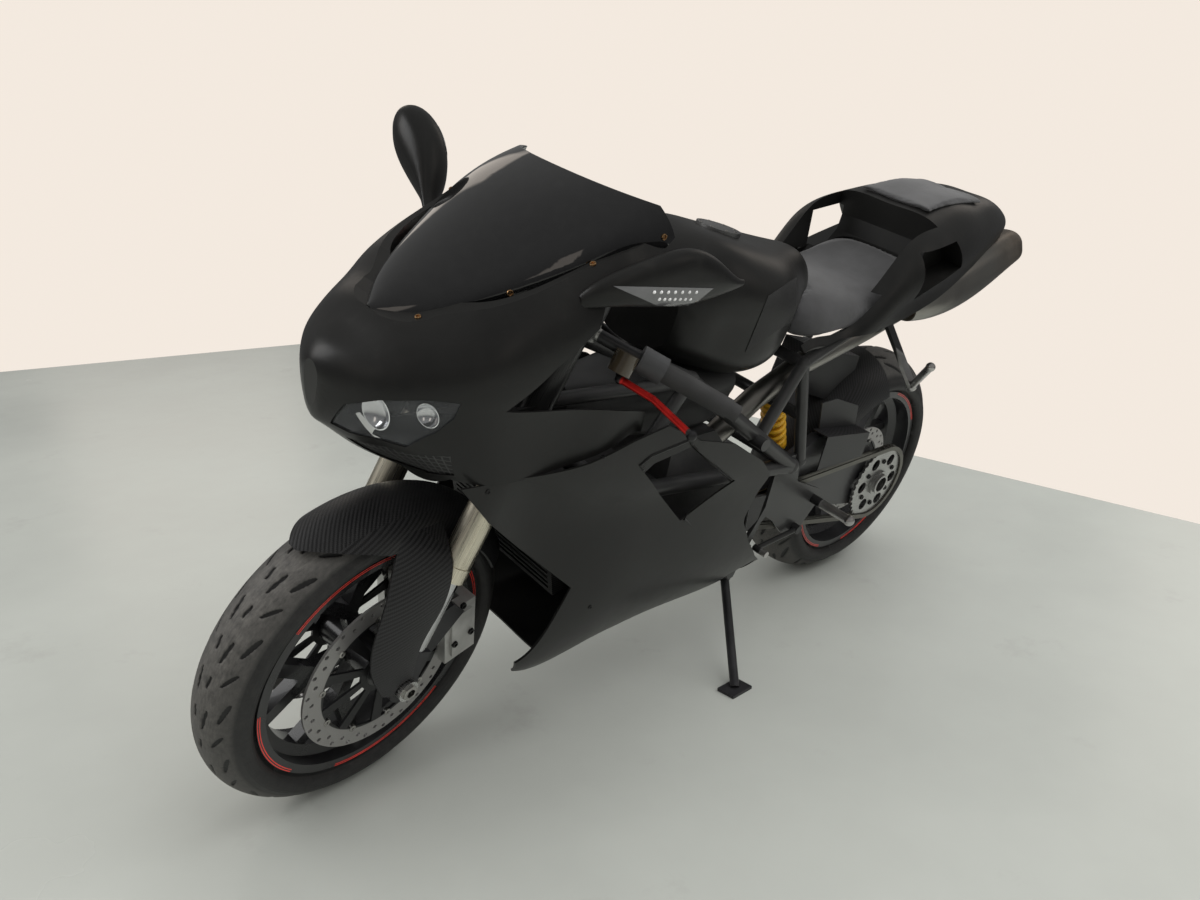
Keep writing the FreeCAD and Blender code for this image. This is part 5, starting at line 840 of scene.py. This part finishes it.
# Sprocket bolts and the hexagon in the front axle's end
sprocketBolts = {"ring": 62, "from": 300, "count": 6, "size": (6.5, 4)}
spots = []
for step in range(sprocketBolts["count"]):
    start = onRing(0, sprocketBolts["ring"], sprocketBolts["from"], step, sprocketBolts["count"], "wheel")
    spots.append((*localHit(rearWheel, start, (0, -1, 0), "rear_sprocket"), *sprocketBolts["size"]))
boltSet("sprocketBolts", spots, "rear_wheel", "sprocket", "blackBolt")
axleHex = {"aside": 14, "from": 300,
           "profile": [(9, -1), (15.5, -1), (15.5, 4.6), (14, 5.4), (9, 5.4), (9, -1)]}
start = (machine["forkOffset"] + axleHex["aside"], axleHex["from"], 0)
hit, normal = localHit(forkPlace, start, (0, -1, 0), "front_axle")
centre = hit - forkAhead * axleHex["aside"] / 1000
makePiece("axleHex", *turned(axleHex["profile"], centre, normal, 6), "steering", "axle", "bolt", sharp=25)

# Caliper bolts and filler ring, each found by a ray from outside
caliperBolts = {"places": ((-72, 108), (-120, 60), (-96, 138), (-148, 86)), "from": 200, "size": (6.5, 4)}
spots = []
for side in (1, -1):
    for x, z in caliperBolts["places"]:
        start = (machine["forkOffset"] + x, side * caliperBolts["from"], z)
        spots.append((*localHit(forkPlace, start, (0, -side, 0), "front_calipers"), *caliperBolts["size"]))
boltSet("caliperBolts", spots, "steering", "caliper", "blackBolt")
fillerBolts = {"middle": 712.5, "ring": 37, "from": 1200, "count": 8, "size": (3, 1.4)}
spots = []
for step in range(fillerBolts["count"]):
    start = onRing(fillerBolts["middle"], fillerBolts["ring"], fillerBolts["from"], step,
                   fillerBolts["count"], "flat")
    spots.append((*localHit(bikePlace, start, (0, 0, -1), "fuel_cap"), *fillerBolts["size"]))
boltSet("fillerBolts", spots, "chassis", "cap", "bolt")

# Glass of the upright mirror, on the side that faces the rider
mirrorGlass = {"from": 900, "y": -312, "z": 1074, "wide": 42, "tall": 30, "proud": .8, "sink": .3,
               "rows": 9, "columns": 17, "corner": .05}
grid = []
for row in range(mirrorGlass["rows"]):
    share = row * 2 / (mirrorGlass["rows"] - 1) - 1
    reach = mirrorGlass["wide"] * math.sqrt(max(mirrorGlass["corner"], 1 - share ** 2))
    spots = []
    for column in range(mirrorGlass["columns"]):
        aside = reach * (column * 2 / (mirrorGlass["columns"] - 1) - 1)
        start = (mirrorGlass["from"], mirrorGlass["y"] + aside,
                 mirrorGlass["z"] + mirrorGlass["tall"] * share)
        spots.append(localHit(bikePlace, start, (1, 0, 0), "mirrors"))
    grid.append(spots)
glass = coverForm(grid, mirrorGlass["proud"], mirrorGlass["sink"])
makePiece("mirrorGlass", *glass, "chassis", "lens", "glass")

# Two dials on the instrument panel, found from where the rider looks
dials = {"asides": (-34, 36), "radius": 30, "back": 400, "above": 160, "way": (1, 0, -.4),
         "ring": [(1, -1), (1, 3), (.93, 3.6), (.9, 1.6)], "face": [(.9, -1), (.9, 1.2), (0, 1.2)]}
panel = nodes["instrument_panel"]
panelBox = [panel.matrix_world @ Vector(corner) for corner in panel.bound_box]
panelMiddle = bikePlace.inverted() @ (sum(panelBox, Vector()) / len(panelBox))
dialForms = {"ring": [], "face": []}
for aside in dials["asides"]:
    start = (panelMiddle.x - dials["back"], aside, panelMiddle.z + dials["above"])
    spot = localHit(bikePlace, start, dials["way"], "instrument_panel")
    for part, forms in dialForms.items():
        profile = [(share * dials["radius"], height) for share, height in dials[part]]
        forms.append(turned(profile, *spot, 30))
makePiece("dialRings", *gather(dialForms["ring"]), "chassis", "dash", "plastic")
makePiece("dialFaces", *gather(dialForms["face"]), "chassis", "dash", "ledLens")


def ownCopy(name, source):  # a copy of a node's mesh that the scene may reshape
    copy = source.copy()
    copy.data = source.data.copy()
    copy.name = name
    for key in list(copy.keys()):
        del copy[key]
    copy.parent = None
    copy.matrix_world = Matrix.Identity(4)
    bpy.context.scene.collection.objects.link(copy)
    return copy


def dress(piece, finish, body):
    piece.data.materials.clear()
    piece.data.materials.append(finishes[finish].material)
    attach(piece, body)


# Lamp insides: a dark housing, drawn back towards the rear wheel, and two reflectors on each side
lamps = {"shrink": .955, "bowls": (((372, 414), 27), ((425, 418), 19)), "lean": 1.4, "depth": 20,
         "profile": [(.2, -3), (.5, 1), (.85, 7), (1, 13), (.93, 13), (.8, 8.4), (.46, 2.4), (0, 1.2)]}
housing = ownCopy("lampHousing", nodes["headlights"])
towards = bikePlace.translation
for vertex in housing.data.vertices:
    vertex.co = towards + (vertex.co - towards) * lamps["shrink"]
dress(housing, "dark", "chassis")
reflectors = []
for pixel, radius in lamps["bowls"]:
    spot = seen(pixel, "headlights")
    for hit, facing in (spot, across(*spot, "headlights")):
        way = (facing + bikeAhead * lamps["lean"]).normalized()
        profile = [(share * radius, height) for share, height in lamps["profile"]]
        reflectors.append(turned(profile, hit - way * lamps["depth"] / 1000, way, 28))
makePiece("lampReflectors", *gather(reflectors), "chassis", "lens", "chrome")
print("details placed")

# Seat pad: a cushion that swells over the saddle's base
seatPad = {"voxel": .004, "pressure": 3.2, "quality": 5, "ticks": 20, "most": .004, "shrink": .0016}  # metres


def swollen(name, source, sizes):
    copy = ownCopy(name, source)
    remesh = copy.modifiers.new("even", "REMESH")
    remesh.mode, remesh.voxel_size = "VOXEL", sizes["voxel"]
    bpy.context.view_layer.objects.active = copy
    for other in bpy.context.selected_objects:
        other.select_set(False)
    copy.select_set(True)
    bpy.ops.object.modifier_apply(modifier="even")
    mesh = copy.data
    normals, flat = np.zeros(len(mesh.vertices) * 3), np.zeros(len(mesh.vertices) * 3)
    mesh.vertices.foreach_get("normal", normals)
    mesh.vertices.foreach_get("co", flat)
    start = flat.reshape(-1, 3) - normals.reshape(-1, 3) * sizes["shrink"]
    mesh.vertices.foreach_set("co", start.ravel())
    mesh.update()
    cloth = copy.modifiers.new("cloth", "CLOTH")
    cloth.settings.use_pressure = True
    cloth.settings.uniform_pressure_force = sizes["pressure"]
    cloth.settings.effector_weights.gravity = 0
    cloth.settings.quality = sizes["quality"]
    for tick in range(1, sizes["ticks"] + 1):
        bpy.context.scene.frame_set(tick)
    evaluated = copy.evaluated_get(bpy.context.evaluated_depsgraph_get())
    evaluated.data.vertices.foreach_get("co", flat)
    copy.modifiers.remove(cloth)
    bpy.context.scene.frame_set(1)
    step = flat.reshape(-1, 3) - start
    length = np.linalg.norm(step, axis=1, keepdims=True)
    start = start + step * np.minimum(1, sizes["most"] / np.maximum(length, 1e-9))
    mesh.vertices.foreach_set("co", start.ravel())
    mesh.update()
    mesh.shade_smooth()
    return copy


pad = swollen("seatPad", nodes["seat"], seatPad)
dress(pad, "suede", "chassis")
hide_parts("seat")
print("seat pad swelled")

# Stage: grey floor that ends at two pale walls, as in the photograph
stage = {"floor": (.42, .435, .405), "wall": (.9, .82, .74), "strength": .95, "reach": 20,
         "corner": (408, 334), "leftEnd": (0, 372), "rightEnd": (1200, 524)}


def onFloor(pixel):
    ray = pixelRay(pixel)
    return eye - ray * (eye.z / ray.z)


corner, leftEnd, rightEnd = (onFloor(stage[key]) for key in ("corner", "leftEnd", "rightEnd"))
leftWay, rightWay = ((end - corner).normalized() * stage["reach"] for end in (leftEnd, rightEnd))
mesh = bpy.data.meshes.new("floor")
floorCorners = [corner, corner + rightWay, corner + leftWay + rightWay, corner + leftWay]
mesh.from_pydata(floorCorners, [], [(0, 1, 2, 3)])
floor = bpy.data.objects.new("floor", mesh)
bpy.context.scene.collection.objects.link(floor)
finish = Finish("floor")
cloud = finish.noise(1.1, 5, .6)
stain = finish.spread(finish.noise(3.5, 6, .7), .6, .72)
darker = tuple(channel * .9 for channel in stage["floor"])
tone = finish.blend(finish.spread(cloud, .35, .65), darker, stage["floor"])
finish.set(colour=finish.blend(stain * .25, tone, (.27, .27, .25)),
           rough=finish.spread(cloud, .3, .7, .16, .28))
floor.data.materials.append(finish.material)

class Sky(Finish):
    def __init__(self, name):
        world = bpy.data.worlds.new(name)
        world.use_nodes = True
        bpy.context.scene.world = world
        self.tree = world.node_tree
        self.output = self.tree.nodes["World Output"]

    def air(self, colour, strength=1):
        return self.node("ShaderNodeBackground", None, {"Color": colour, "Strength": strength})

    def choose(self, ray, other, seenOne):
        share = self.node("ShaderNodeLightPath", out=ray)
        return self.node("ShaderNodeMixShader", None, {0: share, 1: other, 2: seenOne})


# Sky: the camera sees the pale wall, soft light comes from above, and shiny faces see a dim hall whose
# windows show that wall
hall = {"windows": 6, "turn": .33, "middle": .42, "half": .17, "wide": .09, "soft": .03,
        "low": (.1, .1, .1), "high": (.24, .24, .235),
        "dome": ((.3, (.34, .335, .326)), (.52, (.5, .4925, .48)), (.72, (.95, .936, .912)))}
sky = Sky("hall")
way = sky.node("ShaderNodeTexCoord", out="Generated")
x, y, z = (sky.node("ShaderNodeSeparateXYZ", None, {0: way}, index) for index in range(3))
dome = sky.node("ShaderNodeValToRGB", {"stops": hall["dome"]}, {0: z * .5 + .5})
beside = abs((y.do("ARCTAN2", x) * (hall["windows"] / math.tau) + hall["turn"]).part() - .5)
above = abs(z - hall["middle"])
pane = (sky.spread(beside, hall["wide"], hall["wide"] + hall["soft"], 1, 0)
        * sky.spread(above, hall["half"], hall["half"] + hall["soft"], 1, 0))
inside = sky.blend(pane, sky.blend(sky.spread(z, -.2, .9), hall["low"], hall["high"]), stage["wall"])
shaded = sky.choose("Is Glossy Ray", sky.air(dome, stage["strength"]), sky.air(inside))
sky.feed(sky.output.inputs["Surface"], sky.choose("Is Camera Ray", shaded, sky.air(stage["wall"])))

lights = {"overhead": {"at": (-.6, 1.6, 4.4), "aim": (0, 0, .5), "size": (5, 3.6), "power": 130,
                       "shine": False},
          "window": {"at": (3.6, -2.2, 3.2), "aim": (.3, 0, .6), "size": (2.4, 2.4), "power": 50,
                     "shine": True},
          "rear": {"at": (-3.2, 2.4, 2.8), "aim": (-.3, 0, .6), "size": (2, 2), "power": 35, "shine": False}}
for name, sizes in lights.items():
    light = bpy.data.lights.new(name, "AREA")
    light.shape, light.size, light.size_y = "RECTANGLE", *sizes["size"]
    light.energy = sizes["power"]
    lamp = bpy.data.objects.new(name, light)
    lamp.visible_glossy = sizes["shine"]
    bpy.context.scene.collection.objects.link(lamp)
    lamp.location = sizes["at"]
    lamp.rotation_euler = (Vector(sizes["aim"]) - Vector(sizes["at"])).to_track_quat("-Z", "Y").to_euler()
bpy.context.scene.view_settings.view_transform = "Standard"
print("stage and lamps set")
